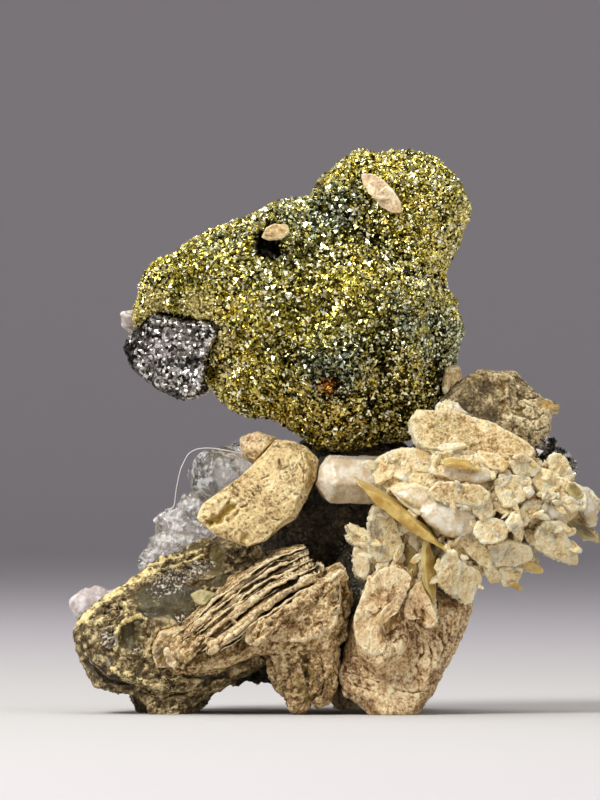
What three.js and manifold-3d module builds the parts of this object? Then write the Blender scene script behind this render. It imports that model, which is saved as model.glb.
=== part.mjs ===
// Calcite specimen with quartz and a chalcopyrite druse, standing on its broken base.
// Millimetres, +Z up, the best side faces -Y, origin under the middle of the whole piece.

import * as THREE from 'three';
import Module from 'manifold-3d';
import { mergeVertices } from 'three/addons/utils/BufferGeometryUtils.js';

const wasm = await Module();
wasm.setup();

// Driving dimensions
const fitGap = 0.3; // air between two pieces that meet
const chamfer = 0.35; // worn edge of a calcite blade
const thinBlade = 1.5;
const thickBlade = 2.3;
const restLevel = 0; // height of the surface that the specimen stands on
const sunkBelow = restLevel - 0.9; // feet are drawn this low and then cut off flat

// How far back the middle of each large piece lies
const lumpDepth = 2;
const slabDepth = -6.2;
const rosetteDepth = -9;
const amberDepth = -13.8;
const footDepth = -8.2;
const leafDepth = -9.2;
const baseDepth = -4;
const matrixDepth = 4.4;
const backDepth = 11.4;

// How the forms are worked out
const weldDistance = 1e-4;
const rayStep = 0.25; // between the tries along a ray to a melted surface
const widestBevel = 0.35; // share of a blade's thickness
const deepestInset = 0.45; // share of the way from its rim to its middle
const thinnestTaper = 0.25;
const cornerShift = 0.25; // unevenness of an oval, along it and outwards
const cornerSwell = 0.13;

// Small repeatable variation, so that no two crystals are alike.
function variation(seed) {
  const wave = Math.sin(seed * 127.1 + 311.7) * 43758.5453;
  return 2 * (wave - Math.floor(wave)) - 1;
}

// Geometry to solid
function toSolid(geometry) {
  const bare = geometry.clone();
  bare.deleteAttribute('normal');
  bare.deleteAttribute('uv');
  const welded = mergeVertices(bare, weldDistance);
  const corners = welded.index.array;
  const kept = [];
  for (let i = 0; i < corners.length; i += 3) {
    const [a, b, c] = [corners[i], corners[i + 1], corners[i + 2]];
    if (a !== b && b !== c && a !== c) {
      kept.push(a, b, c);
    }
  }
  return new wasm.Manifold(
    new wasm.Mesh({
      numProp: 3,
      vertProperties: new Float32Array(welded.attributes.position.array),
      triVerts: new Uint32Array(kept),
    }),
  );
}

// Solid to geometry, without the loose crumbs that a cut can leave
function toGeometry(solid) {
  const mesh = solid.getMesh();
  const corners = mesh.triVerts;
  const points = mesh.vertProperties;
  const parent = Array.from({ length: points.length / mesh.numProp }, (_, i) => i);
  const root = (i) => {
    let at = i;
    while (parent[at] !== at) {
      parent[at] = parent[parent[at]];
      at = parent[at];
    }
    return at;
  };
  for (let i = 0; i < corners.length; i += 3) {
    parent[root(corners[i])] = root(corners[i + 1]);
    parent[root(corners[i + 1])] = root(corners[i + 2]);
  }
  const corner = (i) => new THREE.Vector3(
    points[mesh.numProp * i],
    points[mesh.numProp * i + 1],
    points[mesh.numProp * i + 2],
  );
  const volumes = new Map();
  for (let i = 0; i < corners.length; i += 3) {
    const [a, b, c] = [corner(corners[i]), corner(corners[i + 1]), corner(corners[i + 2])];
    const body = root(corners[i]);
    volumes.set(body, (volumes.get(body) ?? 0) + a.dot(b.cross(c)));
  }
  const largest = [...volumes].sort((one, other) => other[1] - one[1])[0][0];
  const positions = [];
  for (let i = 0; i < corners.length; i += 3) {
    if (root(corners[i]) === largest) {
      for (let k = 0; k < 3; k += 1) {
        positions.push(...corner(corners[i + k]).toArray());
      }
    }
  }
  const geometry = new THREE.BufferGeometry();
  geometry.setAttribute('position', new THREE.Float32BufferAttribute(positions, 3));
  const welded = mergeVertices(geometry, weldDistance);
  welded.computeVertexNormals();
  return welded;
}

function union(solids) {
  return solids.reduce((all, solid) => all.add(solid));
}

// An outline moved outwards all round, with its sharp corners held short.
function widened(rim, amount) {
  const area = rim.reduce((sum, [x, z], i) => {
    const [nextX, nextZ] = rim[(i + 1) % rim.length];
    return sum + x * nextZ - nextX * z;
  }, 0);
  const side = Math.sign(area) * amount;
  return rim.map(([x, z], i) => {
    const [beforeX, beforeZ] = rim[(i + rim.length - 1) % rim.length];
    const [afterX, afterZ] = rim[(i + 1) % rim.length];
    const inward = Math.hypot(x - beforeX, z - beforeZ);
    const onward = Math.hypot(afterX - x, afterZ - z);
    const first = new THREE.Vector2((z - beforeZ) / inward, (beforeX - x) / inward);
    const second = new THREE.Vector2((afterZ - z) / onward, (x - afterX) / onward);
    const openness = 1 + Math.max(-0.5, first.dot(second));
    const corner = first.clone().add(second).divideScalar(openness);
    return [x + side * corner.x, z + side * corner.y];
  });
}

// A crystal blade whose outline is drawn as seen from the front, in x and z.
// lean moves its face back by so much for each millimetre to the right and up,
// drift slides it sideways and up for each millimetre towards the back,
// taper thins it to the right and up, and grow makes it larger all round.
// The worn edge is on the faces that show: the front one, the back one, both or none.
function blade({
  rim,
  depth,
  thick,
  lean = [0, 0],
  drift = [0, 0],
  taper = [0, 0],
  bevel = chamfer,
  worn = 'front',
  grow = 0,
}) {
  const middle = [0, 1].map((k) => rim.reduce((sum, point) => sum + point[k] / rim.length, 0));
  const outline = grow > 0 ? widened(rim, grow) : rim;
  const face = thick / 2 + grow * Math.hypot(1, lean[0], lean[1]);
  const edge = face - Math.min(bevel, widestBevel * thick);
  const sections = {
    none: [[face, false], [-face, false]],
    front: [[face, false], [-edge, false], [-face, true]],
    back: [[face, true], [edge, false], [-face, false]],
    both: [[face, true], [edge, false], [-edge, false], [-face, true]],
  }[worn];
  const layers = sections.length - 1;
  const geometry = new THREE.ExtrudeGeometry(
    new THREE.Shape(outline.map(([x, z]) => new THREE.Vector2(x, z))),
    { depth: layers, steps: layers, bevelEnabled: false },
  );
  const points = geometry.attributes.position;
  for (let i = 0; i < points.count; i += 1) {
    const [level, drawnIn] = sections[Math.round(points.getZ(i))];
    const out = [points.getX(i) - middle[0], points.getY(i) - middle[1]];
    const inset = drawnIn ? 1 - Math.min(bevel / Math.hypot(...out), deepestInset) : 1;
    const [across, up] = [out[0] * inset, out[1] * inset];
    const inside = level * Math.max(thinnestTaper, 1 - taper[0] * across - taper[1] * up);
    points.setXYZ(
      i,
      middle[0] + across + drift[0] * inside,
      depth + inside + lean[0] * across + lean[1] * up,
      middle[1] + up + drift[1] * inside,
    );
  }
  return toSolid(geometry);
}

// An uneven oval outline for a blade that shows little of its edge.
function ovalRim({ x, z, long, wide, turn, corners = 9, seed }) {
  const angle = THREE.MathUtils.degToRad(turn);
  return Array.from({ length: corners }, (_, i) => {
    const around = (2 * Math.PI * (i + cornerShift * variation(seed + i))) / corners;
    const size = 1 + cornerSwell * variation(3 * seed + i);
    const along = 0.5 * long * Math.cos(around) * size;
    const aside = 0.5 * wide * Math.sin(around) * size;
    return [
      x + along * Math.cos(angle) - aside * Math.sin(angle),
      z + along * Math.sin(angle) + aside * Math.cos(angle),
    ];
  });
}

// A rounded lump: a faceted ball, stretched to its radii and left uneven.
function lump({ at, radii, detail = 2, uneven = 0.05, seed = 1, grow = 0 }) {
  const geometry = new THREE.IcosahedronGeometry(1, detail);
  const points = geometry.attributes.position;
  const way = new THREE.Vector3();
  for (let i = 0; i < points.count; i += 1) {
    way.fromBufferAttribute(points, i);
    const { x, y, z } = way;
    const swell = Math.sin(3.1 * x + seed) + Math.sin(3.7 * y + 2 * seed) + Math.sin(4.3 * z + 3 * seed);
    const ripple = Math.sin(7.9 * x - 5.3 * z + 5 * seed) + Math.sin(8.7 * y + 6.1 * z + seed);
    const size = 1 + uneven * (0.5 * swell + 0.35 * ripple);
    points.setXYZ(
      i,
      at[0] + x * (radii[0] * size + grow),
      at[1] + y * (radii[1] * size + grow),
      at[2] + z * (radii[2] * size + grow),
    );
  }
  return toSolid(geometry);
}

// A quartz prism with six sides and a blunt pointed end, from its foot along a direction.
function prism({ foot, way, long, across, tip, turn = 0, flat = 1, grow = 0 }) {
  const sides = 6;
  const radius = across / 2 + grow;
  const footRadius = 0.8 * radius;
  const bluntRadius = 0.22 * radius;
  const profile = [
    new THREE.Vector2(0, -grow),
    new THREE.Vector2(footRadius, -grow),
    new THREE.Vector2(radius, long / 4),
    new THREE.Vector2(radius, long - tip),
    new THREE.Vector2(bluntRadius, long + 0.8 * grow),
    new THREE.Vector2(0, long + grow),
  ];
  const geometry = new THREE.LatheGeometry(profile, sides);
  geometry.rotateY(THREE.MathUtils.degToRad(turn));
  geometry.scale(1, 1, flat);
  const up = new THREE.Vector3(0, 1, 0);
  const direction = new THREE.Vector3(...way).normalize();
  geometry.applyQuaternion(new THREE.Quaternion().setFromUnitVectors(up, direction));
  geometry.translate(...foot);
  return toSolid(geometry);
}

// A broad block that takes away what would reach under the surface it stands on.
function belowRest() {
  const broad = 120;
  const high = 20;
  const block = new THREE.BoxGeometry(broad, broad, high);
  block.translate(0, 0, restLevel - high / 2);
  return toSolid(block);
}

// Lobes that melt into one another: the surface is found inwards along rays to the heart.
function melted({ lobes, heart, reach, blend, detail, uneven, waves, grow }) {
  const nearness = (point) => lobes.reduce((sum, { at, radii }) => {
    const away = Math.hypot(...at.map((value, k) => (point.getComponent(k) - value) / radii[k]));
    return sum + Math.exp(((1 - away) * Math.min(...radii)) / blend);
  }, 0);
  const geometry = new THREE.IcosahedronGeometry(1, detail);
  const points = geometry.attributes.position;
  const middle = new THREE.Vector3(...heart);
  const way = new THREE.Vector3();
  const point = new THREE.Vector3();
  for (let i = 0; i < points.count; i += 1) {
    way.fromBufferAttribute(points, i);
    let far = reach;
    while (nearness(point.copy(middle).addScaledVector(way, far)) < 1) {
      far -= rayStep;
    }
    const { x, y, z } = way;
    const ripple = Math.sin(waves * (x + 0.5 * z)) * Math.sin(waves * (0.9 * y - 0.8 * z) + 1);
    const chip = Math.sin(1.7 * waves * (z - 0.4 * x) + 2) * Math.sin(1.9 * waves * (x + 0.3 * y));
    point.addScaledVector(way, grow + uneven * (ripple + 0.6 * chip));
    points.setXYZ(i, ...point.toArray());
  }
  return toSolid(geometry);
}

function chalcopyriteLump(grow) {
  const lobes = [
    { at: [1.2, lumpDepth, 46.8], radii: [11.9, 11, 11.6] },
    { at: [8.3, lumpDepth + 0.8, 58.5], radii: [8, 8, 7.8] },
    { at: [3.2, lumpDepth + 0.6, 61], radii: [4.8, 6, 5] },
    { at: [0.2, lumpDepth + 0.6, 55.6], radii: [5.8, 7, 5.6] },
    { at: [-5.6, lumpDepth + 0.4, 52.6], radii: [7.4, 8.4, 7.6] },
    { at: [-11.8, lumpDepth + 0.2, 49.4], radii: [7.2, 8.2, 8.2] },
    { at: [-17.4, lumpDepth, 46.6], radii: [6.2, 7.4, 7.2] },
    { at: [-21.8, lumpDepth, 44.8], radii: [3.2, 4.8, 4.2] },
    { at: [11.3, lumpDepth + 1.5, 44.8], radii: [4, 6, 5] },
    { at: [9.4, lumpDepth + 1.2, 38.6], radii: [4.2, 5.6, 4.2] },
    { at: [6.8, lumpDepth + 0.6, 36.2], radii: [5, 6, 4.8] },
    { at: [0.2, lumpDepth - 1.5, 37.6], radii: [6.8, 7.4, 6.8] },
    { at: [-8.4, lumpDepth - 0.5, 40.8], radii: [6.4, 7, 6.2] },
    { at: [-0.6, lumpDepth - 9, 40.4], radii: [4.6, 3.8, 4.8] },
    { at: [6.6, lumpDepth - 6.6, 49.4], radii: [4.6, 4.4, 4.8] },
    { at: [-7, lumpDepth - 5.6, 47.6], radii: [4.6, 4, 4.6] },
    { at: [3, lumpDepth + 8, 49], radii: [8.4, 6.4, 8.4] },
    { at: [-9, lumpDepth + 6, 45.4], radii: [7, 5, 6.4] },
  ];
  const heart = [0, lumpDepth, 47];
  return melted({ lobes, heart, reach: 34, blend: 0.7, detail: 6, uneven: 0.3, waves: 8, grow });
}

// Dark metallic mineral at the left end: a flat broken face, set into the lobes
const patch = {
  rim: [
    [-21.4, 47.3], [-18.8, 46.3], [-16.8, 46], [-13.6, 45.7], [-13.9, 44.1], [-14.8, 42],
    [-15.4, 39.4], [-14.8, 37.6], [-17.6, 36.8], [-20.4, 37.9], [-23.6, 40.5], [-24.6, 42.7],
    [-24.2, 44.1], [-22.9, 44.8], [-22, 46],
  ],
  depth: lumpDepth - 2.9,
  thick: 5,
  lean: [-0.34, 0.05],
  bevel: 0.5,
};

function darkPatch(grow) {
  return blade({ ...patch, grow });
}

// The lump stays clear of the face of the patch, and of what stands in front of it.
function patchRecess() {
  const clearance = 4;
  return blade({ ...patch, depth: patch.depth - clearance, grow: fitGap });
}

function paleTip(grow) {
  return prism({
    foot: [-22.6, 1.4, 45.3], way: [-0.75, -0.35, 0.5], long: 3.1, across: 2.4, tip: 1.2, turn: 12, grow,
  });
}

function upperFlake(grow) {
  const rim = [
    [2.9, 63.3], [4.2, 62.9], [6.1, 61.2], [7.9, 59.6], [7.7, 58.7], [6.3, 59], [4.1, 60.5], [2.7, 62.2],
  ];
  return blade({ rim, depth: lumpDepth - 6.4, thick: 1.6, lean: [0.08, 0.62], bevel: 0.3, grow });
}

function pitFlake(grow) {
  const rim = [[-8.4, 55.9], [-7.9, 57.1], [-6.4, 57.1], [-5.6, 56.4], [-5.9, 55.5], [-7.4, 55.4]];
  return blade({ rim, depth: lumpDepth - 5.9, thick: 2.6, lean: [0.1, 0.5], bevel: 0.3, grow });
}

function lumpHollows() {
  return union([
    patchRecess(),
    lump({ at: [-7.9, -5.4, 54.5], radii: [1.1, 2.6, 0.9], detail: 1, seed: 3 }),
    lump({ at: [-1.1, -2.6, 59.3], radii: [0.8, 2.4, 0.8], detail: 1, seed: 5 }),
  ]);
}

// Calcite slab that leans under the lump
function leaningSlab(grow) {
  const rim = [
    [-6.8, 32], [-4.9, 31.8], [-3.3, 31.1], [-1.9, 29.7], [-2.1, 27.6], [-3.2, 25.4], [-4.5, 22.9],
    [-6.35, 21.7], [-8, 20.3], [-10.1, 19.6], [-13.9, 21], [-16, 22.9], [-15.3, 24.5],
    [-12.7, 26.4], [-10.8, 27.8], [-8.7, 29.9],
  ];
  return blade({
    rim, depth: slabDepth, thick: 4.6, lean: [0.12, 0.34], taper: [-0.05, 0], bevel: 1, worn: 'both', grow,
  });
}

function slabLump(grow) {
  return lump({ at: [-8.9, -1.9, 31], radii: [2.2, 2.4, 2.1], detail: 0, uneven: 0.12, seed: 6, grow });
}

function clearQuartz(grow) {
  return union([
    prism({
      foot: [-11.4, 1.6, 25.2], way: [-0.42, -0.55, 0.5], long: 8.2, across: 7.2, tip: 2.4, turn: 8, grow,
    }),
    prism({
      foot: [-10.6, 2.6, 26.6], way: [-0.1, -0.2, 1], long: 5.4, across: 4.8, tip: 1.8, turn: 20, grow,
    }),
  ]);
}

function quartzCrust(grow) {
  const beads = [
    [-21.6, -0.4, 17.5, 1.6], [-20.2, 0.4, 19.6, 1.8], [-18.6, 0.6, 21.8, 2], [-16.4, 0.8, 23.8, 2],
    [-17.6, -0.4, 20.2, 2.1], [-15.2, -0.2, 22, 2.1], [-19.4, -0.8, 18.2, 1.7],
  ];
  return union(beads.map(([x, y, z, radius], i) => lump({
    at: [x, y, z], radii: [radius, radius, radius], detail: 0, uneven: 0.2, seed: i + 2, grow,
  })));
}

function farQuartz(grow) {
  const crystals = [
    { foot: [-26.4, 0.6, 12], way: [-1, -0.2, 0.22], long: 4.9, across: 4, tip: 1.5, turn: 14 },
    { foot: [-27.4, 0.8, 12.4], way: [-0.35, 0, 1], long: 2.6, across: 3.1, tip: 1, turn: 3 },
    { foot: [-25.8, 0.8, 12.2], way: [0.2, -0.1, 1], long: 2.4, across: 2.8, tip: 0.9, turn: 31 },
  ];
  return union(crystals.map((each) => prism({ ...each, grow })));
}

function centreQuartz(grow) {
  return prism({
    foot: [8, -3.4, 27.2],
    way: [-1, -0.22, 0.03],
    long: 10.4,
    across: 6.2,
    tip: 1.6,
    turn: 22,
    flat: 0.95,
    grow,
  });
}

// Large plate at the lower left, with the ledges of the older plates under it
function basePlate(grow) {
  const topRim = [
    [-30, 10.7], [-27.5, 13], [-22.4, 16.4], [-20.5, 17.9], [-18.1, 18.7], [-15.8, 20],
    [-12.7, 20.6], [-9, 19.6], [-7, 16], [-14, 7.6], [-19.5, 5.6], [-28.4, 8.2],
  ];
  const underRim = [
    [-30.3, 9.8], [-30, 7.8], [-29.2, 5.6], [-27.8, 3.2], [-23.2, 2.4], [-21.8, 0.8], [-21.2, sunkBelow],
    [-18, sunkBelow], [-15.8, 1.8], [-7.6, 6.2], [-8, 12], [-22, 13.6],
  ];
  const ledgeRim = [
    [-29.6, 9.2], [-28.4, 6], [-26.4, 4.4], [-23.4, 3.8], [-20.6, 2.6], [-17.4, 2.8],
    [-10, 6.6], [-12, 10.4], [-24, 11.6],
  ];
  const heelRim = [
    [-24.6, 11], [-25.4, 6], [-22.4, sunkBelow], [-17, sunkBelow], [-12, 5], [-11.4, 11.6],
  ];
  return union([
    blade({ rim: topRim, depth: baseDepth, thick: 3.6, lean: [0.1, 0.52], bevel: 0.7, grow }),
    blade({ rim: underRim, depth: baseDepth - 1.4, thick: 6.4, lean: [0.02, 0.16], bevel: 1, grow }),
    blade({ rim: ledgeRim, depth: baseDepth - 4.2, thick: 2.4, lean: [0.04, 0.3], bevel: 0.6, grow }),
    blade({ rim: heelRim, depth: baseDepth + 5, thick: 8, lean: [0.06, 0.1], bevel: 1, grow }),
    lump({ at: [-23.8, baseDepth - 5, 9.6], radii: [2.1, 1, 2.5], detail: 1, seed: 7, grow }),
    lump({ at: [-26.4, baseDepth - 4.6, 6.2], radii: [1.4, 1, 1.2], detail: 0, seed: 8, grow }),
  ]);
}

function basePit() {
  return lump({ at: [-23.8, baseDepth - 6.2, 9.6], radii: [1.3, 1, 1.6], detail: 1, seed: 9 });
}

function yellowFlake(grow) {
  const rim = [[-16.8, 14], [-15.6, 14.6], [-13.9, 14.1], [-13.2, 13], [-14.3, 12.4], [-16.1, 12.8]];
  return blade({ rim, depth: baseDepth - 4.4, thick: 1, lean: [0.1, 0.5], bevel: 0.25, grow });
}

// Stack of thin leaves that fans up to the right, over the front face and its ribbed lobe
function leafStack(grow) {
  const leafStep = 0.8; // how far each leaf stands in front of the one above it
  const leaves = [
    [[-18.9, 7.4], [-11.3, 14.6], [-5.8, 18], [-3.2, 19.3], [-5.8, 18.9], [-11.5, 15.5], [-19.2, 8.4]],
    [[-18.4, 7], [-11.6, 13.3], [-6.8, 16.6], [-3.2, 18.5], [-6.9, 17.5], [-11.9, 14.3], [-18.6, 8]],
    [[-17.6, 6.6], [-11.7, 11.9], [-7.4, 15.3], [-2.6, 17.9], [-7.5, 16.2], [-12, 12.9], [-17.9, 7.8]],
    [[-14.6, 7.6], [-11.4, 10.2], [-6.8, 13.8], [-1.2, 17.3], [-6.9, 14.8], [-11.6, 11.3], [-14.8, 8.8]],
    [[-9.4, 8.7], [-4, 13.2], [1.2, 16.4], [0.9, 17.4], [-4.2, 14.5], [-9.6, 10]],
  ];
  const faceRim = [
    [-21.3, 7.6], [-20.3, 9.6], [-18.2, 10.1], [-14.6, 9.7], [-7.8, 10.9], [-4, 13.7], [0.9, 16.8],
    [1.8, 13.4], [1.2, 9], [-1, 7], [-8.6, 7.3], [-12.4, 5.7], [-15.8, 4.9], [-18.4, 5], [-20.6, 5.8],
  ];
  const spurRim = [[-12, 9.6], [-8, 10.4], [-3.6, 13], [0.4, 15.2], [0.8, 11], [-0.4, 7.4], [-6.6, 7.2]];
  const ribs = [
    { at: [-5.6, leafDepth + 0.2, 6.8], radii: [2.2, 3.4, 4.8] },
    { at: [-4, leafDepth - 0.8, 5.9], radii: [1.9, 3.2, 6] },
    { at: [-1.7, leafDepth - 0.8, 6.3], radii: [2.2, 3.4, 6.2] },
  ];
  return union([
    ...leaves.map((rim, i) => blade({
      rim,
      depth: leafDepth - leafStep * i,
      thick: 5.6,
      drift: [-0.1, 0.16],
      lean: [0.04, 0.1],
      worn: 'none',
      grow,
    })),
    blade({ rim: faceRim, depth: leafDepth + 0.6, thick: 5.4, lean: [-0.06, 0.24], bevel: 0.9, grow }),
    blade({ rim: spurRim, depth: leafDepth - 2.6, thick: 2.8, lean: [-0.1, 0.16], bevel: 0.7, grow }),
    ...ribs.map((rib, i) => lump({ ...rib, detail: 1, uneven: 0.06, seed: i + 3, grow })),
  ]);
}

// Thick rounded plate at the lower right, the foot that carries most of the weight
function footPlate(grow) {
  const rim = [
    [1.4, 7.5], [1, 4.7], [1.4, 2.4], [5.4, sunkBelow], [9, sunkBelow], [11.4, 2.7], [12.4, 4.6],
    [13.9, 7.5], [15.3, 10.5], [15.8, 12.9], [14.2, 13.2], [8, 15.4], [4.4, 14.2], [2.2, 11],
  ];
  const frontRim = [
    [4.1, 16], [6.1, 17.4], [7.5, 17.8], [8.6, 17], [9.2, 15.4], [9.4, 10.2], [7.6, 6.8], [5, 5.4],
    [3, 7.2], [2.2, 10.4],
  ];
  const small = [
    { x: 9.4, z: 13.2, long: 4.6, wide: 2.6, turn: 70, depth: footDepth - 4, lean: [0.2, 0.3], seed: 4 },
    { x: 10.8, z: 11.2, long: 3.6, wide: 2.4, turn: 55, depth: footDepth - 3.6, lean: [0.4, 0.2], seed: 9 },
  ];
  return union([
    blade({ rim, depth: footDepth, thick: 6.8, lean: [0.06, 0.12], bevel: 1.3, grow }),
    blade({ rim: frontRim, depth: footDepth - 4.2, thick: 2.6, lean: [0.16, 0.14], bevel: 0.8, grow }),
    ...small.map((each) => {
      const smallRim = ovalRim({ ...each, corners: 7 });
      return blade({ ...each, rim: smallRim, thick: thinBlade, worn: 'none', grow });
    }),
  ]);
}

// Rosette: blades that grew through one another at the right, with quartz among them.
// Each depth is counted from the middle of the rosette, towards the front where it is below 0.
const rosetteBlades = [
  {
    // long blade along the top
    rim: [
      [8.7, 33.2], [8.7, 34.3], [9.6, 35.2], [11.4, 35.3], [14, 35.1], [18.6, 33.8], [22.4, 31.6],
      [23.4, 30.6], [23, 29.5], [19.6, 29.4], [12.4, 30.4], [10.4, 30.8], [9.4, 31.6],
    ],
    depth: -0.2,
    thick: thickBlade,
    lean: [0.14, 0.55],
  },
  {
    // face around the upper left
    rim: [
      [4.2, 28.9], [5.4, 30], [7.6, 31], [9.8, 31.2], [12, 29.6], [12.1, 27.4], [10.6, 25.4],
      [8.8, 24.8], [6.4, 25.6], [4.8, 27],
    ],
    depth: -0.7,
    thick: thickBlade,
    lean: [-0.25, 0.3],
  },
  {
    // between the long blade and the quartz
    rim: [[11.4, 30.8], [17, 30.6], [20.2, 29.2], [18.6, 28], [14, 27.4], [11, 28]],
    depth: -2.8,
    thick: thinBlade,
    lean: [0.05, 0.7],
  },
  {
    // dark-specked oval in front
    rim: [
      [10.8, 26.2], [12.2, 27.3], [14.2, 27], [16.4, 27], [18.1, 25.8], [17.4, 24.2], [15.4, 23.8],
      [12.6, 24.6],
    ],
    depth: -5.6,
    thick: thinBlade,
    lean: [0.1, 0.3],
  },
  {
    // square blade
    rim: [[18.4, 27.3], [20.4, 28.1], [22.8, 27.6], [22.9, 26.2], [21.6, 24.6], [20.4, 23.8], [18.9, 24.6]],
    depth: -2.9,
    thick: thinBlade,
    lean: [0.35, 0.35],
  },
  {
    // long blade at the right
    rim: [
      [22.6, 27.2], [23.6, 28.4], [25.4, 27.7], [28.4, 26.8], [29.5, 25], [29.2, 23.8], [26.6, 23.9],
      [23.6, 25.8],
    ],
    depth: -0.8,
    thick: thinBlade,
    lean: [0.4, 0.45],
  },
  {
    // upper right, behind the black grains
    rim: [[24.8, 29.6], [25.8, 30.6], [27.2, 29.6], [28.1, 27.4], [26.4, 26.2], [25, 27.4]],
    depth: 1,
    thick: thinBlade,
    lean: [0.55, 0.25],
  },
  {
    // lower right
    rim: [
      [22.9, 19.6], [23.2, 21.2], [24.3, 22.9], [26, 22.8], [27.4, 20.2], [28.4, 18.4], [28.1, 17.4],
      [25.4, 18.2],
    ],
    depth: -0.1,
    thick: thickBlade,
    lean: [0.45, -0.2],
  },
  {
    // far right tip
    rim: [[26.8, 22.9], [28.6, 23.2], [31, 20.9], [30.9, 20.1], [29.4, 20.3], [27.4, 21.8]],
    depth: 3.6,
    thick: thinBlade,
    lean: [0.5, 0],
  },
  {
    // specked blade at the left
    rim: [
      [3.7, 20.6], [3.9, 22.9], [4.6, 24.6], [5.6, 24.6], [6.8, 22.9], [7.7, 21], [8, 19.3], [7.2, 18],
      [5.4, 17.2], [4, 18],
    ],
    depth: -2.3,
    thick: thickBlade,
    lean: [0.25, -0.1],
  },
  {
    // blade that hangs at the middle
    rim: [
      [11.9, 16.4], [12.2, 18.4], [13.2, 19.4], [15.6, 18], [16.9, 17.1], [17, 15.6], [15.9, 13.1],
      [14.8, 13], [12.2, 15.1],
    ],
    depth: -3.2,
    thick: thickBlade,
    lean: [0.3, -0.3],
  },
  {
    // thin blade seen edge-on, and its neighbour
    rim: [[9.9, 19.6], [11, 18.8], [11.7, 14.8], [12.3, 10.3], [10.8, 12.4], [9.9, 16]],
    depth: -2.7,
    thick: 2.6,
    lean: [0.5, -0.1],
    worn: 'none',
  },
  {
    rim: [[8, 19.6], [9.9, 19.6], [10.4, 17], [9.6, 15.7], [8.3, 16.4]],
    depth: -1.5,
    thick: thinBlade,
    lean: [-0.3, -0.1],
    worn: 'none',
  },
  {
    // two leaves and a pale blade that stick out at the left
    rim: [[1.2, 22], [2.2, 22.2], [4.9, 20.9], [4.9, 20], [2, 20.8]],
    depth: -0.4,
    thick: 3,
    lean: [0, 0.2],
    worn: 'none',
  },
  {
    rim: [[1.2, 20.9], [2.2, 21.1], [5, 19.9], [5, 19], [2, 19.8]],
    depth: -0.4,
    thick: 3,
    lean: [0, 0.2],
    worn: 'none',
  },
  {
    rim: [[2, 18.9], [3.2, 19.4], [5.1, 18.6], [4.9, 17], [3.6, 15.6], [2.4, 16]],
    depth: -0.8,
    thick: thinBlade,
    lean: [0.1, 0.1],
    worn: 'none',
  },
  {
    // broad blade along the bottom
    rim: [
      [13.6, 21.4], [16, 21], [20.2, 19.8], [22.2, 17.4], [21.2, 15], [19.2, 15.2], [17.4, 17.2], [15, 19],
    ],
    depth: -2,
    thick: thickBlade,
    lean: [0.2, -0.5],
  },
  {
    rim: [[20.2, 20], [22.8, 20.2], [23.6, 18.4], [24.4, 16.8], [23.2, 16.4], [20.6, 17.4]],
    depth: -0.3,
    thick: thinBlade,
    lean: [0.35, -0.4],
  },
  {
    // round blade at the lower middle
    rim: [[15.9, 21.4], [16.6, 22.8], [18.2, 23.2], [19.8, 22.4], [20.1, 20.8], [18.8, 19.9], [16.6, 20]],
    depth: -3.9,
    thick: thickBlade,
    lean: [0.15, 0.05],
  },
];

const smallBlades = [
  { x: 20.9, z: 22.5, long: 2.4, wide: 1.9, turn: 70, depth: -4, thick: 2, lean: [0.45, 0.1] },
  { x: 22.6, z: 23.6, long: 3.6, wide: 2, turn: 52, depth: -2.8, thick: 1.6, lean: [0.4, 0.2] },
  { x: 18.7, z: 29, long: 3, wide: 1.7, turn: -24, depth: -2.4, thick: 1.4, lean: [0.1, 0.5] },
  { x: 25.2, z: 23.6, long: 3.6, wide: 2.6, turn: -20, depth: 0.6, thick: 2, lean: [0.5, 0.1] },
  { x: 13.9, z: 18.8, long: 5.2, wide: 2.4, turn: -24, depth: -2.4, thick: 1.8, lean: [0.1, -0.5] },
  { x: 18, z: 17.6, long: 4, wide: 2.4, turn: -58, depth: -2.6, thick: 1.6, lean: [0.4, -0.4] },
  { x: 8.6, z: 22.8, long: 4.6, wide: 3, turn: 64, depth: -2.8, thick: 1.8, lean: [-0.3, 0.1] },
  { x: 7.4, z: 25, long: 4.8, wide: 2.2, turn: -12, depth: -2, thick: 1.6, lean: [0.1, 0.6] },
  { x: 23.4, z: 28.9, long: 4.4, wide: 2.4, turn: -38, depth: 0.8, thick: 1.8, lean: [0.3, 0.2] },
  { x: 16.9, z: 24.9, long: 2.8, wide: 1.6, turn: -66, depth: -5.2, thick: 1.2, lean: [0.5, 0.1] },
  { x: 21.4, z: 24.6, long: 9.4, wide: 5.6, turn: -18, depth: 7, thick: 1.8, lean: [0.3, -0.1] },
  { x: 17.4, z: 20, long: 7.6, wide: 4.6, turn: 30, depth: 6.6, thick: 1.8, lean: [0.1, -0.3] },
  { x: 19.4, z: 29, long: 7, wide: 3.6, turn: -30, depth: 5.4, thick: 1.6, lean: [0.2, 0.3] },
];

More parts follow.
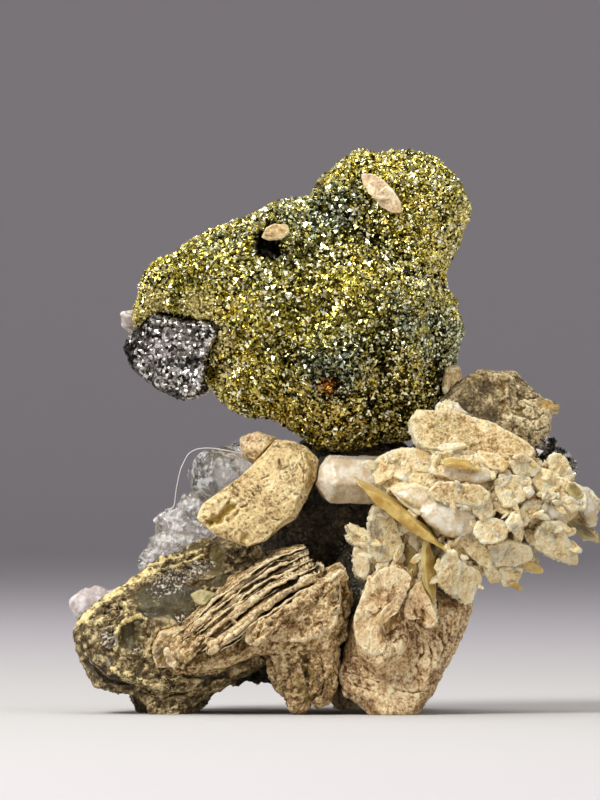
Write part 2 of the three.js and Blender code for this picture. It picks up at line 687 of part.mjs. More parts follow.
function rosette(grow) {
  const middle = rosetteDepth;
  const quartzPoints = [
    { foot: [22, middle + 1, 27.4], way: [-0.1, -0.8, 0.5], long: 4.6, across: 3, tip: 1, turn: 25 },
    { foot: [26.6, middle + 5, 23.6], way: [0.9, -0.25, 0.2], long: 4.9, across: 4.6, tip: 1.3, turn: 5 },
    { foot: [9.4, middle + 1, 20.8], way: [0, -1, 0.2], long: 4.6, across: 2.4, tip: 0.8, turn: 15 },
    { foot: [12.8, middle + 2.4, 32.2], way: [0.2, 0.35, 1], long: 4.9, across: 3.4, tip: 1.2, turn: 15 },
  ];
  const quartzLumps = [
    { at: [15.2, middle - 2.8, 28.2], radii: [3.2, 2.2, 1.5], detail: 1, seed: 11 },
    { at: [13.4, middle - 3.2, 22.8], radii: [3, 2.4, 2.3], detail: 1, seed: 12 },
  ];
  const heart = [
    { at: [14.6, middle + 2, 25.6], radii: [9, 7.6, 6.6], detail: 0, seed: 3 },
    { at: [21.8, middle + 2.6, 24.2], radii: [5.6, 6, 5], detail: 0, seed: 5 },
    { at: [9, middle + 2.4, 20.6], radii: [5.2, 6, 4.6], detail: 0, seed: 6 },
    { at: [16.8, middle + 2.6, 19.4], radii: [5.2, 5.6, 3.6], detail: 0, seed: 7 },
  ];
  const smallRims = smallBlades.map((each, i) => ovalRim({ ...each, corners: 7, seed: i + 2 }));
  const blades = [
    ...rosetteBlades,
    ...smallBlades.map((each, i) => ({ ...each, rim: smallRims[i], worn: 'none' })),
  ];
  return union([
    ...heart.map((each) => lump({ ...each, uneven: 0.06, grow })),
    ...blades.map((each) => blade({ ...each, depth: middle + each.depth, grow })),
    ...quartzPoints.map((each) => prism({ ...each, grow })),
    ...quartzLumps.map((each) => lump({ ...each, grow })),
  ]);
}

function amberBlade(grow) {
  const rim = [
    [2.5, 27.4], [5.2, 26.2], [8.4, 24], [11.2, 21.6], [13, 19.4], [9.8, 21], [6.8, 23.1], [4, 25.5],
  ];
  return blade({
    rim, depth: amberDepth, thick: 4.6, drift: [-0.06, 0.2], lean: [0, 0.1], bevel: 0.3, grow,
  });
}

function amberSliver(grow) {
  const rim = [[12.2, 29.5], [13.6, 29.9], [15.6, 29.6], [17.2, 28.7], [15.4, 28.8], [13.6, 28.9]];
  return blade({
    rim, depth: amberDepth - 0.5, thick: 2.6, drift: [0, 0.25], lean: [0, 0], bevel: 0.2, grow,
  });
}

function darkGrains(grow) {
  const beads = [
    [24.5, -5, 30.4, 1.2], [24.4, -5.4, 29, 1.1], [25.2, -4.8, 31.4, 0.9],
    [27.6, -4.6, 29, 0.8], [27.7, -4.8, 28, 0.7], [26, -4, 29.6, 1.7],
  ];
  return union(beads.map(([x, y, z, radius], i) => lump({
    at: [x, y, z], radii: [radius, radius, radius], detail: 0, uneven: 0.1, seed: i + 2, grow,
  })));
}

function backPlate(grow) {
  const rim = [
    [12.6, 36.6], [14.6, 38.7], [17.3, 40.1], [19.2, 39.9], [21.3, 39.9], [22.5, 38.7], [24.5, 36.8],
    [26.6, 35.9], [25.6, 34.9], [25.4, 33.6], [24.5, 31.6], [20, 28.4], [15, 29], [12.4, 32],
  ];
  return blade({
    rim,
    depth: lumpDepth - 1.6,
    thick: 3,
    lean: [0.16, 0.3],
    taper: [0.02, 0.03],
    bevel: 0.7,
    worn: 'both',
    grow,
  });
}

function edgeBlade(grow) {
  const rim = [[13.2, 40.4], [14.6, 40.5], [15, 39.2], [14.8, 37.6], [13.6, 36.6], [12.8, 38]];
  return blade({ rim, depth: lumpDepth - 1.8, thick: 2.4, lean: [0.4, 0.1], bevel: 0.25, grow });
}

// Calcite and quartz on the side that is turned away
function backBlades(grow) {
  const blades = [
    { x: -12, z: 14, long: 21, wide: 15, turn: 24, depth: 1.2, thick: 3, lean: [-0.16, -0.3], corners: 10 },
    { x: 4, z: 13, long: 18, wide: 15, turn: 80, depth: 2.6, thick: 3.2, lean: [0.1, -0.3], corners: 10 },
    { x: 10, z: 19.4, long: 15, wide: 9, turn: 130, depth: 0, thick: 2.6, lean: [0.3, -0.2], corners: 9 },
    { x: -6.4, z: 24, long: 13, wide: 8, turn: 30, depth: 0, thick: 2.4, lean: [0.1, -0.4], corners: 8 },
    { x: 4.8, z: 4, long: 13, wide: 10.6, turn: 4, depth: -0.4, thick: 7.4, lean: [0, -0.2], corners: 8 },
  ];
  const firstSeed = 21;
  return union(blades.map((each, i) => {
    const rim = ovalRim({ ...each, seed: firstSeed + i });
    return blade({ ...each, rim, depth: backDepth + each.depth, bevel: 0.7, worn: 'back', grow });
  }));
}

function backQuartz(grow) {
  const crystals = [
    { foot: [5, backDepth - 2.4, 25.4], way: [0.25, 1, 0.32], long: 7.4, across: 4.6, tip: 1.8 },
    { foot: [7.8, backDepth - 3.4, 27.6], way: [0.5, 0.9, 0.5], long: 6.2, across: 3.6, tip: 1.4 },
    { foot: [2.2, backDepth - 2, 28], way: [-0.1, 1, 0.3], long: 5, across: 3.2, tip: 1.2 },
  ];
  const root = { at: [5.2, backDepth - 1.8, 26.2], radii: [4.8, 3.4, 4], uneven: 0.08 };
  return union([
    ...crystals.map((each, i) => prism({ ...each, turn: 5 + 7 * i, grow })),
    lump({ ...root, detail: 0, seed: 4, grow }),
  ]);
}

// Dark matrix that everything grows on
function matrix() {
  const lobes = [
    { at: [-9, matrixDepth, 12], radii: [15, 8.4, 8.6] },
    { at: [5, matrixDepth - 0.8, 11.4], radii: [9.6, 8.4, 9.6] },
    { at: [2.4, matrixDepth + 0.2, 24.6], radii: [9.2, 6.6, 9] },
    { at: [11, matrixDepth - 2.2, 25], radii: [7, 5.4, 6.6] },
    { at: [-5.4, matrixDepth, 25], radii: [7.6, 5.4, 5.8] },
  ];
  const heart = [0, matrixDepth, 17];
  return melted({ lobes, heart, reach: 30, blend: 0.5, detail: 3, uneven: 0.6, waves: 6, grow: 0 });
}

// Each piece keeps its place, and those later in the list are cut back to meet it.
const calciteTan = { color: 0xb09a6c, roughness: 0.72, metalness: 0 };
const calciteDark = { color: 0x6f6a4a, roughness: 0.55, metalness: 0 };
const calciteAmber = { color: 0xb08a3a, roughness: 0.4, metalness: 0 };
const quartzWhite = { color: 0xd8cfcb, roughness: 0.25, metalness: 0 };
const brassy = { color: 0x8a7a30, roughness: 0.35, metalness: 0.9 };
const silverBlack = { color: 0x55585c, roughness: 0.35, metalness: 0.8 };
const rockDark = { color: 0x3b3a32, roughness: 0.8, metalness: 0 };

const pieces = [
  { name: 'sphalerite_patch', shape: darkPatch, look: silverBlack },
  { name: 'quartz_left_tip', shape: paleTip, look: quartzWhite },
  { name: 'calcite_upper_flake', shape: upperFlake, look: calciteTan },
  { name: 'calcite_pit_flake', shape: pitFlake, look: calciteTan },
  { name: 'chalcopyrite_lump', shape: chalcopyriteLump, look: brassy, carve: lumpHollows },
  { name: 'calcite_amber_blade', shape: amberBlade, look: calciteAmber },
  { name: 'calcite_amber_sliver', shape: amberSliver, look: calciteAmber },
  { name: 'calcite_rosette', shape: rosette, look: calciteTan },
  { name: 'sphalerite_grains', shape: darkGrains, look: silverBlack },
  { name: 'calcite_leaning_slab', shape: leaningSlab, look: calciteTan },
  { name: 'calcite_slab_lump', shape: slabLump, look: calciteTan },
  { name: 'quartz_centre', shape: centreQuartz, look: quartzWhite },
  { name: 'quartz_upper_left', shape: clearQuartz, look: quartzWhite },
  { name: 'calcite_back_plate', shape: backPlate, look: calciteTan },
  { name: 'calcite_edge_blade', shape: edgeBlade, look: calciteTan },
  { name: 'calcite_foot_plate', shape: footPlate, look: calciteTan },
  { name: 'calcite_leaf_stack', shape: leafStack, look: calciteTan },
  { name: 'calcite_yellow_flake', shape: yellowFlake, look: calciteAmber },
  { name: 'calcite_base_plate', shape: basePlate, look: calciteDark, carve: basePit },
  { name: 'quartz_far_left', shape: farQuartz, look: quartzWhite },
  { name: 'quartz_left_crust', shape: quartzCrust, look: quartzWhite },
  { name: 'calcite_back_blades', shape: backBlades, look: calciteTan },
  { name: 'quartz_back', shape: backQuartz, look: quartzWhite },
  { name: 'matrix', shape: matrix, look: rockDark },
];

function apart(one, other) {
  const [a, b] = [one.boundingBox(), other.boundingBox()];
  return [0, 1, 2].some((k) => a.max[k] < b.min[k] || b.max[k] < a.min[k]);
}

const specimen = new THREE.Group();
const ground = belowRest();
const placed = [];
for (const { name, shape, look, carve } of pieces) {
  let solid = shape(0).subtract(ground);
  if (carve) {
    solid = solid.subtract(carve());
  }
  for (const neighbour of placed) {
    if (!apart(solid, neighbour)) {
      solid = solid.subtract(neighbour);
    }
  }
  placed.push(shape(fitGap));
  const mesh = new THREE.Mesh(toGeometry(solid), new THREE.MeshStandardMaterial(look));
  mesh.name = name;
  specimen.add(mesh);
}

// The origin is under the middle of the whole specimen.
const extent = new THREE.Box3().setFromObject(specimen);
const middle = extent.getCenter(new THREE.Vector3());
for (const mesh of specimen.children) {
  mesh.geometry.translate(-middle.x, -middle.y, -extent.min.z);
}

export default specimen;
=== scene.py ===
# Calcite specimen with a chalcopyrite druse: its looks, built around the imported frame.
# Shapes are worked in millimetres and turned into metres when an object is made.
import math

import bpy
import numpy as np
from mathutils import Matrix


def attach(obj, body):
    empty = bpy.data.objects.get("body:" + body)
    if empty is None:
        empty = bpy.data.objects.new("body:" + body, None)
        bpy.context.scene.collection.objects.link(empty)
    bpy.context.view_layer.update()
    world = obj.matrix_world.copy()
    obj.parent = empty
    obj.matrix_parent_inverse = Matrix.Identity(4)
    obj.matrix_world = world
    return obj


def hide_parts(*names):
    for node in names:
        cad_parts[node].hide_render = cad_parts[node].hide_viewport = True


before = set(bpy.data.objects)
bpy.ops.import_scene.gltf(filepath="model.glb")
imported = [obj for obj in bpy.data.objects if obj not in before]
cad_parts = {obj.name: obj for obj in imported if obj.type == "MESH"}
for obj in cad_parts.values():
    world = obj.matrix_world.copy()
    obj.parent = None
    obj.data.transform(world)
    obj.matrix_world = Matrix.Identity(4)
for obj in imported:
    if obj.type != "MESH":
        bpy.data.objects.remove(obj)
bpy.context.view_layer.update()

millimetre = 0.001
print("frame:", len(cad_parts), "nodes")

# Sums with sockets: an expression such as 1 - dust * 0.4 adds its Math nodes
class Tap:
    def __init__(self, finish, socket):
        self.finish = finish
        self.socket = socket

    def __add__(self, other):
        return self.finish.maths("ADD", self, other)

    def __sub__(self, other):
        return self.finish.maths("SUBTRACT", self, other)

    def __rsub__(self, other):
        return self.finish.maths("SUBTRACT", other, self)

    def __mul__(self, other):
        return self.finish.maths("MULTIPLY", self, other)

    __radd__ = __add__
    __rmul__ = __mul__


# One material, with the few ways of patterning it that these minerals need
class Finish:
    def __init__(self, name):
        self.material = bpy.data.materials.new(name)
        self.material.use_nodes = True
        self.tree = self.material.node_tree
        self.tree.nodes.clear()
        place = self.node("TexCoord", out="Object")
        self.place = self.node("VectorMath", {"operation": "SCALE"}, {0: place, "Scale": 1 / millimetre})

    # Any node: its type, its settings and then the values or links of its sockets
    def node(self, kind, settings=None, sockets=None, out=0):
        made = self.tree.nodes.new("ShaderNode" + kind)
        for key, value in (settings or {}).items():
            if key == "stops":
                self.setStops(made.color_ramp, value)
            else:
                setattr(made, key, value)
        for key, value in (sockets or {}).items():
            if isinstance(value, Tap):
                self.tree.links.new(value.socket, made.inputs[key])
            else:
                made.inputs[key].default_value = value
        return Tap(self, made.outputs[out])

    def setStops(self, ramp, stops):
        while len(ramp.elements) < len(stops):
            ramp.elements.new(0.5)
        for element, (position, shade) in zip(ramp.elements, stops.items()):
            element.position = position
            element.color = paint(shade) if isinstance(shade, tuple) else (shade, shade, shade, 1)

    def maths(self, operation, *values):
        return self.node("Math", {"operation": operation}, dict(enumerate(values)))

    # Stops are a shade or a colour for each position
    def ramp(self, value, stops):
        return self.node("ValToRGB", {"stops": stops}, {0: value})

    # From 0 at low to 1 at high, without a corner at either end
    def rise(self, value, low, high):
        settings = {"interpolation_type": "SMOOTHSTEP"}
        return self.node("MapRange", settings, {"Value": value, "From Min": low, "From Max": high})

    # The same surface somewhere else in a pattern, so that no two patterns agree
    def moved(self, seed, steps):
        away = [seed * step for step in steps]
        return self.node("VectorMath", {"operation": "ADD"}, {0: self.place, 1: away})

    # Stretch below 1 draws the pattern out that way, and turn tips it as seen from the front
    def noise(self, size, detail=3, rough=0.55, seed=0, stretch=None, turn=0):
        at = self.moved(seed, (13.7, 7.1, 3.3))
        if turn:
            sockets = {"Vector": at, "Angle": math.radians(turn)}
            at = self.node("VectorRotate", {"rotation_type": "Y_AXIS"}, sockets)
        if stretch:
            at = self.node("VectorMath", {"operation": "MULTIPLY"}, {0: at, 1: stretch})
        sockets = {"Vector": at, "Scale": 1 / size, "Detail": detail, "Roughness": rough}
        return self.node("TexNoise", None, sockets, "Fac")

    def cells(self, size, seed=0):
        at = self.moved(seed, (5.3, 9.1, 2.9))
        return self.node("TexVoronoi", None, {"Vector": at, "Scale": 1 / size}, "Distance")

    # Thin winding lines
    def cracks(self, size, seed, width):
        gap = self.noise(size, 3, 0.6, seed=seed) - 0.5
        return 1 - self.rise(self.maths("ABSOLUTE", gap), 0, width)

    # 1 at a place and 0 past its reach, in millimetres
    def near(self, place, reach, soft):
        away = self.node("VectorMath", {"operation": "DISTANCE"}, {0: self.place, 1: place}, "Value")
        return 1 - self.rise(away, reach * (1 - soft), reach)

    def nearAll(self, spots):
        return sum(self.near(place, reach, soft) * share for place, reach, soft, share in spots)

    # What a piece's points were marked with when it was made
    def mark(self, name):
        return self.node("Attribute", {"attribute_name": name}, out="Fac")

    # Between two colours, each a socket or red, green and blue
    def mix(self, amount, one, other):
        one, other = (paint(colour) if isinstance(colour, tuple) else colour for colour in (one, other))
        return self.node("Mix", {"data_type": "RGBA"}, {0: amount, 6: one, 7: other}, 2)

    def shade(self, amount, colour):
        settings = {"data_type": "RGBA", "blend_type": "MULTIPLY"}
        return self.node("Mix", settings, {0: 1.0, 6: colour, 7: amount}, 2)

    def bump(self, height, strength, depth):
        sockets = {"Height": height, "Strength": strength, "Distance": depth * millimetre}
        return self.node("Bump", None, sockets)

    def shader(self, **sockets):
        sockets = {key.replace("_", " "): value for key, value in sockets.items()}
        return self.node("BsdfPrincipled", None, sockets)

    def ended(self, shader):
        end = self.tree.nodes.new("ShaderNodeOutputMaterial")
        self.tree.links.new(shader.socket, end.inputs["Surface"])
        return self.material

    def surface(self, **sockets):
        return self.ended(self.shader(**sockets))


# Red, green and blue from 0 to 255, in linear light
def paint(tone):
    return tuple(((c / 255 + 0.055) / 1.055) ** 2.4 if c > 10 else c / 255 / 12.92 for c in tone) + (1,)


def between(one, other, share):
    return tuple((1 - share) * a + share * b for a, b in zip(one, other))


# Repeatable chance numbers from 0 to 1 for whole-number places, stirred with large odd factors
def scattered(cells, seed):
    most = 0x7FFFFFFF
    mixed = cells[..., 0] * 73856093 ^ cells[..., 1] * 19349663 ^ cells[..., 2] * 83492791
    mixed = (mixed ^ (seed * 2654435761 & most)) & most
    mixed = (mixed ^ (mixed >> 13)) * 1274126177 & most
    mixed = (mixed ^ (mixed >> 16)) * 1103515245 & most
    return (mixed ^ (mixed >> 11)) / most


# Soft unevenness from -1 to 1
def waves(points, size, seed):
    grid = points / size + 0.37 * seed
    cell = np.floor(grid).astype(np.int64)
    inside = grid - cell
    inside = inside * inside * (3 - 2 * inside)
    total = np.zeros(len(points))
    for corner in np.ndindex(2, 2, 2):
        share = np.prod(np.where(corner, inside, 1 - inside), axis=1)
        total += share * scattered(cell + corner, seed)
    return 2 * total - 1


def roughness(points, size, seed, layers=3):
    return sum(waves(points, size / 2**k, seed + k) / 2**k for k in range(layers))


# Narrow winding crests with round hollows between them
def crests(points, size, seed, layers=2):
    return sum((1 - 2.6 * np.abs(waves(points, size / 2**k, seed + k))) / 2**k for k in range(layers))


# Distance to a line drawn as seen from the front
def awayFrom(line, points):
    flat = points[:, [0, 2]]
    nearest = np.full(len(points), 99.0)
    for start, end in zip(line, line[1:]):
        start, way = np.array(start, float), np.subtract(end, start)
        share = np.clip((flat - start) @ way / max(way @ way, 1e-9), 0, 1)
        nearest = np.minimum(nearest, np.linalg.norm(flat - start - share[:, None] * way, axis=1))
    return nearest


def unit(ways):
    ways = np.array(ways, float)
    return ways / np.linalg.norm(ways, axis=-1, keepdims=True)


# Drawn together along one way, so that a pattern worked out from it comes out long that way
def drawnOut(points, way, times):
    way = unit(way)
    return points - (1 - 1 / times) * (points @ way)[:, None] * way


# For the nearest of a loose grid of grains: how far it is, its own chance number, the margin
# to the next grain, and the height of a flat face that lies across it at some slant
def grains(points, size, seed):
    grid = points / size + 0.61 * seed
    cell = np.floor(grid).astype(np.int64)
    first = np.full(len(points), 9.0)
    second, chance, level = first.copy(), np.zeros(len(points)), np.zeros(len(points))
    for step in np.ndindex(3, 3, 3):
        other = cell + step - 1
        rolls = np.stack([scattered(other, seed + k) for k in range(1, 8)], axis=1)
        apart = grid - other - rolls[:, :3]
        away = np.linalg.norm(apart, axis=1)
        closer = away < first
        second = np.where(closer, first, np.minimum(second, away))
        chance = np.where(closer, rolls[:, 6], chance)
        face = np.sum(apart * (2 * rolls[:, 3:6] - 1), axis=1) + 0.4 * (rolls[:, 6] - 0.5)
        level = np.where(closer, face, level)
        first = np.where(closer, away, first)
    return first, chance, second - first, level * size


# A fine closed surface, kept as arrays in millimetres while it is worked
class Skin:
    def __init__(self, points, faces):
        self.points = points
        self.faces = faces
        around = np.roll(faces, -1, axis=1)
        edges = np.sort(np.stack([faces.ravel(), around.ravel()], axis=1), axis=1)
        self.edges = np.unique(edges, axis=0)
        ends = np.concatenate([self.edges[:, 0], self.edges[:, 1]])
        self.count = np.maximum(np.bincount(ends, minlength=len(points)), 1)[:, None]

    def relaxed(self, values, rounds, share=0.5):
        one, other = self.edges[:, 0], self.edges[:, 1]
        for _ in range(rounds):
            total = np.stack([
                np.bincount(one, values[other, k], len(values))
                + np.bincount(other, values[one, k], len(values))
                for k in range(values.shape[1])
            ], axis=1)
            values = values + share * (total / self.count - values)
        return values

    def normals(self):
        corners = self.points[self.faces]
        across = np.cross(corners[:, 2] - corners[:, 0], corners[:, -1] - corners[:, 1])
        if self.faces.shape[1] == 3:
            across = np.cross(corners[:, 1] - corners[:, 0], corners[:, 2] - corners[:, 0])
        total = np.zeros_like(self.points)
        for k in range(self.faces.shape[1]):
            for axis in range(3):
                total[:, axis] += np.bincount(self.faces[:, k], across[:, axis], len(self.points))
        return total / np.maximum(np.linalg.norm(total, axis=1, keepdims=True), 1e-9)

    def swell(self, amounts):
        self.points = self.points + self.normals() * amounts[:, None]

    # How far each point stands out from the surface around it
    def standing(self, rounds):
        return np.sum((self.points - self.relaxed(self.points, rounds)) * self.normals(), axis=1)
    # 1 where the surface looks to the front, 0 where it looks aside or back
    def facing(self):
        return np.clip(-self.normals()[:, 1] * 3, 0, 1)


def meshObject(name, points, faces, marks=None, smooth=True):
    mesh = bpy.data.meshes.new(name)
    mesh.vertices.add(len(points))
    mesh.vertices.foreach_set("co", (points * millimetre).astype(np.float32).ravel())
    mesh.loops.add(faces.size)
    mesh.loops.foreach_set("vertex_index", faces.astype(np.int32).ravel())
    mesh.polygons.add(len(faces))
    mesh.polygons.foreach_set("loop_start", np.arange(0, faces.size, faces.shape[1], dtype=np.int32))
    mesh.polygons.foreach_set("use_smooth", np.full(len(faces), smooth))
    mesh.update(calc_edges=True)
    for key, values in (marks or {}).items():
        layer = mesh.attributes.new(key, "FLOAT", "POINT")
        layer.data.foreach_set("value", values.astype(np.float32))
    made = bpy.data.objects.new(name, mesh)
    bpy.context.scene.collection.objects.link(made)
    return made


def arraysOf(mesh, sides):
    points = np.empty(len(mesh.vertices) * 3, np.float32)
    mesh.vertices.foreach_get("co", points)
    faces = np.empty(len(mesh.loops), np.int32)
    mesh.loops.foreach_get("vertex_index", faces)
    return points.reshape(-1, 3).astype(float) / millimetre, faces.reshape(-1, sides)


# The CAD solid's own form, with other closed forms grown into it, under a fine even net
def fineSkin(node, net, worn, shells=()):
    points, faces = np.empty((0, 3)), np.empty((0, 3), int)
    if node:
        points, faces = arraysOf(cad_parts[node].data, 3)
    for shell in shells:
        faces = np.concatenate([faces, shell[1] + len(points)])
        points = np.concatenate([points, shell[0]])
    rough = meshObject("rough", points, faces)
    remesh = rough.modifiers.new("net", "REMESH")
    remesh.mode = "VOXEL"
    remesh.voxel_size = net * millimetre
    evaluated = rough.evaluated_get(bpy.context.evaluated_depsgraph_get())
    skin = Skin(*arraysOf(evaluated.to_mesh(), 4))
    evaluated.to_mesh_clear()
    bpy.data.objects.remove(rough)
    skin.points = skin.relaxed(skin.points, worn)
    return skin


# Fewer corners where the surface is plain
def thinned(piece, share):
    fewer = piece.modifiers.new("fewer", "DECIMATE")
    fewer.ratio = share
    fewer.use_collapse_triangulate = True
    graph = bpy.context.evaluated_depsgraph_get()
    full = piece.data
    piece.data = bpy.data.meshes.new_from_object(piece.evaluated_get(graph), depsgraph=graph)
    piece.data.name = piece.name
    piece.modifiers.remove(fewer)
    bpy.data.meshes.remove(full)
    return piece


# Another mesh of the same finish, taken into a piece
def together(piece, other):
    with bpy.context.temp_override(active_object=piece, selected_editable_objects=[piece, other]):
        bpy.ops.object.join()
    return piece


# The last step of each piece: its material, its place in the frame and what it replaces
def settle(piece, material, slot, *nodes, share=1):
    if share < 1:
        thinned(piece, share)
    piece.data.materials.clear()
    piece.data.materials.append(material)
    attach(piece, "root")
    if nodes:
        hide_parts(*nodes)
    print(f"{piece.name}: {sum(len(face.vertices) - 2 for face in piece.data.polygons)} triangles")


# Places spread over a skin, no two nearer than about the spacing
def seatsOn(skin, spacing, seed, wanted=None):
    chance = np.random.default_rng(seed)
    faces = skin.faces[:, :3]
    if skin.faces.shape[1] == 4:
        faces = np.concatenate([faces, skin.faces[:, [0, 2, 3]]])
    corners = skin.points[faces]
    across = np.cross(corners[:, 1] - corners[:, 0], corners[:, 2] - corners[:, 0])
    area = np.linalg.norm(across, axis=1) / 2
    tries = int(area.sum() / spacing**2 * 4)
    picked = chance.choice(len(faces), tries, p=area / area.sum())
    u, v = chance.random(tries), chance.random(tries)
    u, v = np.where(u + v > 1, 1 - u, u)[:, None], np.where(u + v > 1, 1 - v, v)[:, None]
    three = corners[picked]
    seats = three[:, 0] + u * (three[:, 1] - three[:, 0]) + v * (three[:, 2] - three[:, 0])
    outward = across[picked] / np.maximum(2 * area[picked, None], 1e-12)
    if wanted is not None:
        kept = wanted(seats, outward)
        seats, outward = seats[kept], outward[kept]
    box = np.floor(seats / spacing).astype(np.int64)
    kept = np.unique(box, axis=0, return_index=True)[1]
    return seats[kept], outward[kept]


def turned(count, chance):
    w, x, y, z = unit(chance.normal(size=(count, 4))).T
    return np.stack([
        np.stack([1 - 2 * (y * y + z * z), 2 * (x * y - z * w), 2 * (x * z + y * w)], axis=1),
        np.stack([2 * (x * y + z * w), 1 - 2 * (x * x + z * z), 2 * (y * z - x * w)], axis=1),
        np.stack([2 * (x * z - y * w), 2 * (y * z + x * w), 1 - 2 * (x * x + y * y)], axis=1),
    ], axis=1)


# Turns that stand a crystal's long way on the surface, tipped by chance
def standingTurns(outward, tip, chance):
    up = unit(outward + tip * chance.normal(size=outward.shape))
    side = unit(np.cross(up, chance.normal(size=up.shape)))
    return np.stack([side, np.cross(up, side), up], axis=2)


# Many small crystals of one form, joined in one mesh
def crystalsAt(form, seats, turns, sizes, chance):
    corners, faces = form
    points = np.einsum("nij,nvj->nvi", turns, corners[None] * sizes[:, None]) + seats[:, None]
    count = len(corners)
    joined = faces[None] + (np.arange(len(seats)) * count)[:, None, None]
    tints = np.repeat(chance.random(len(seats)), count)
    return points.reshape(-1, 3), joined.reshape(-1, 3), {"tint": tints}


# Several meshes of one finish, with their marks, as one
def joinedUp(parts):
    points = np.concatenate([part[0] for part in parts])
    starts = np.cumsum([0] + [len(part[0]) for part in parts[:-1]])
    faces = np.concatenate([part[1] + start for part, start in zip(parts, starts)])
    marks = {key: np.concatenate([part[2][key] for part in parts]) for key in parts[0][2]}
    return points, faces, marks


# Triangles from one ring of points, or from each of several, to the next
def band(near, far, sides):
    ring = np.arange(sides)
    following = (ring + 1) % sides
    near, far = np.atleast_1d(near)[:, None], np.atleast_1d(far)[:, None]
    return [
        np.stack([near + ring, far + ring, far + following], axis=2).reshape(-1, 3),
        np.stack([near + ring, far + following, near + following], axis=2).reshape(-1, 3),
    ]


# Triangles from one point to the ring round it
def fan(middle, ring, sides):
    following = (np.arange(sides) + 1) % sides
    return np.stack([np.full(sides, middle), ring + np.arange(sides), ring + following], axis=1)


# Triangles of a closed tube whose rows of points all have the same number of sides
def tube(rows, sides):
    near = np.arange(rows - 1) * sides
    last = (rows - 1) * sides
    ends = [(0, k, k + 1) for k in range(1, sides - 1)]
    ends += [(last, last + k + 1, last + k) for k in range(1, sides - 1)]
    return np.concatenate([*band(near, near + sides, sides), np.array(ends)])


# How far along a line each of its corners is
def distanceAlong(line):
    return np.concatenate([[0], np.cumsum(np.linalg.norm(np.diff(line, axis=0), axis=1))])


def placesAlong(line, steps):
    run = distanceAlong(line)
    return np.stack([np.interp(steps, run, line[:, k]) for k in range(line.shape[1])], axis=1)


# Corners rounded off, with the ends left where they are
def roundedOff(path, rounds):
    for _ in range(rounds):
        path[1:-1] = (path[:-2] + path[1:-1] * 2 + path[2:]) / 4
    return path


def formOf(corners, faces):
    return np.array(corners, float), np.array(faces)
sphenoid = formOf(
    [(1, 1, 1), (1, -1, -1), (-1, 1, -1), (-1, -1, 1)],
    [(0, 1, 2), (0, 3, 1), (0, 2, 3), (1, 3, 2)],
)
bipyramid = formOf(
    [(0, 0, 1), (0, 0, -1), (1, 0, 0), (0, 1, 0), (-1, 0, 0), (0, -1, 0)],
    [(0, 2, 3), (0, 3, 4), (0, 4, 5), (0, 5, 2), (1, 3, 2), (1, 4, 3), (1, 5, 4), (1, 2, 5)],
)

# A six-sided crystal with a shoulder and a blunt point
def sixSidedPoint():
    levels = [(1, -1), (1, 0.45), (0.15, 1)]      # half width and height
    angles = [math.radians(60 * k) for k in range(6)]
    corners = [(wide * math.cos(a), wide * math.sin(a), up) for wide, up in levels for a in angles]
    return formOf(corners, tube(len(levels), len(angles))[:, ::-1])


quartzPoint = sixSidedPoint()
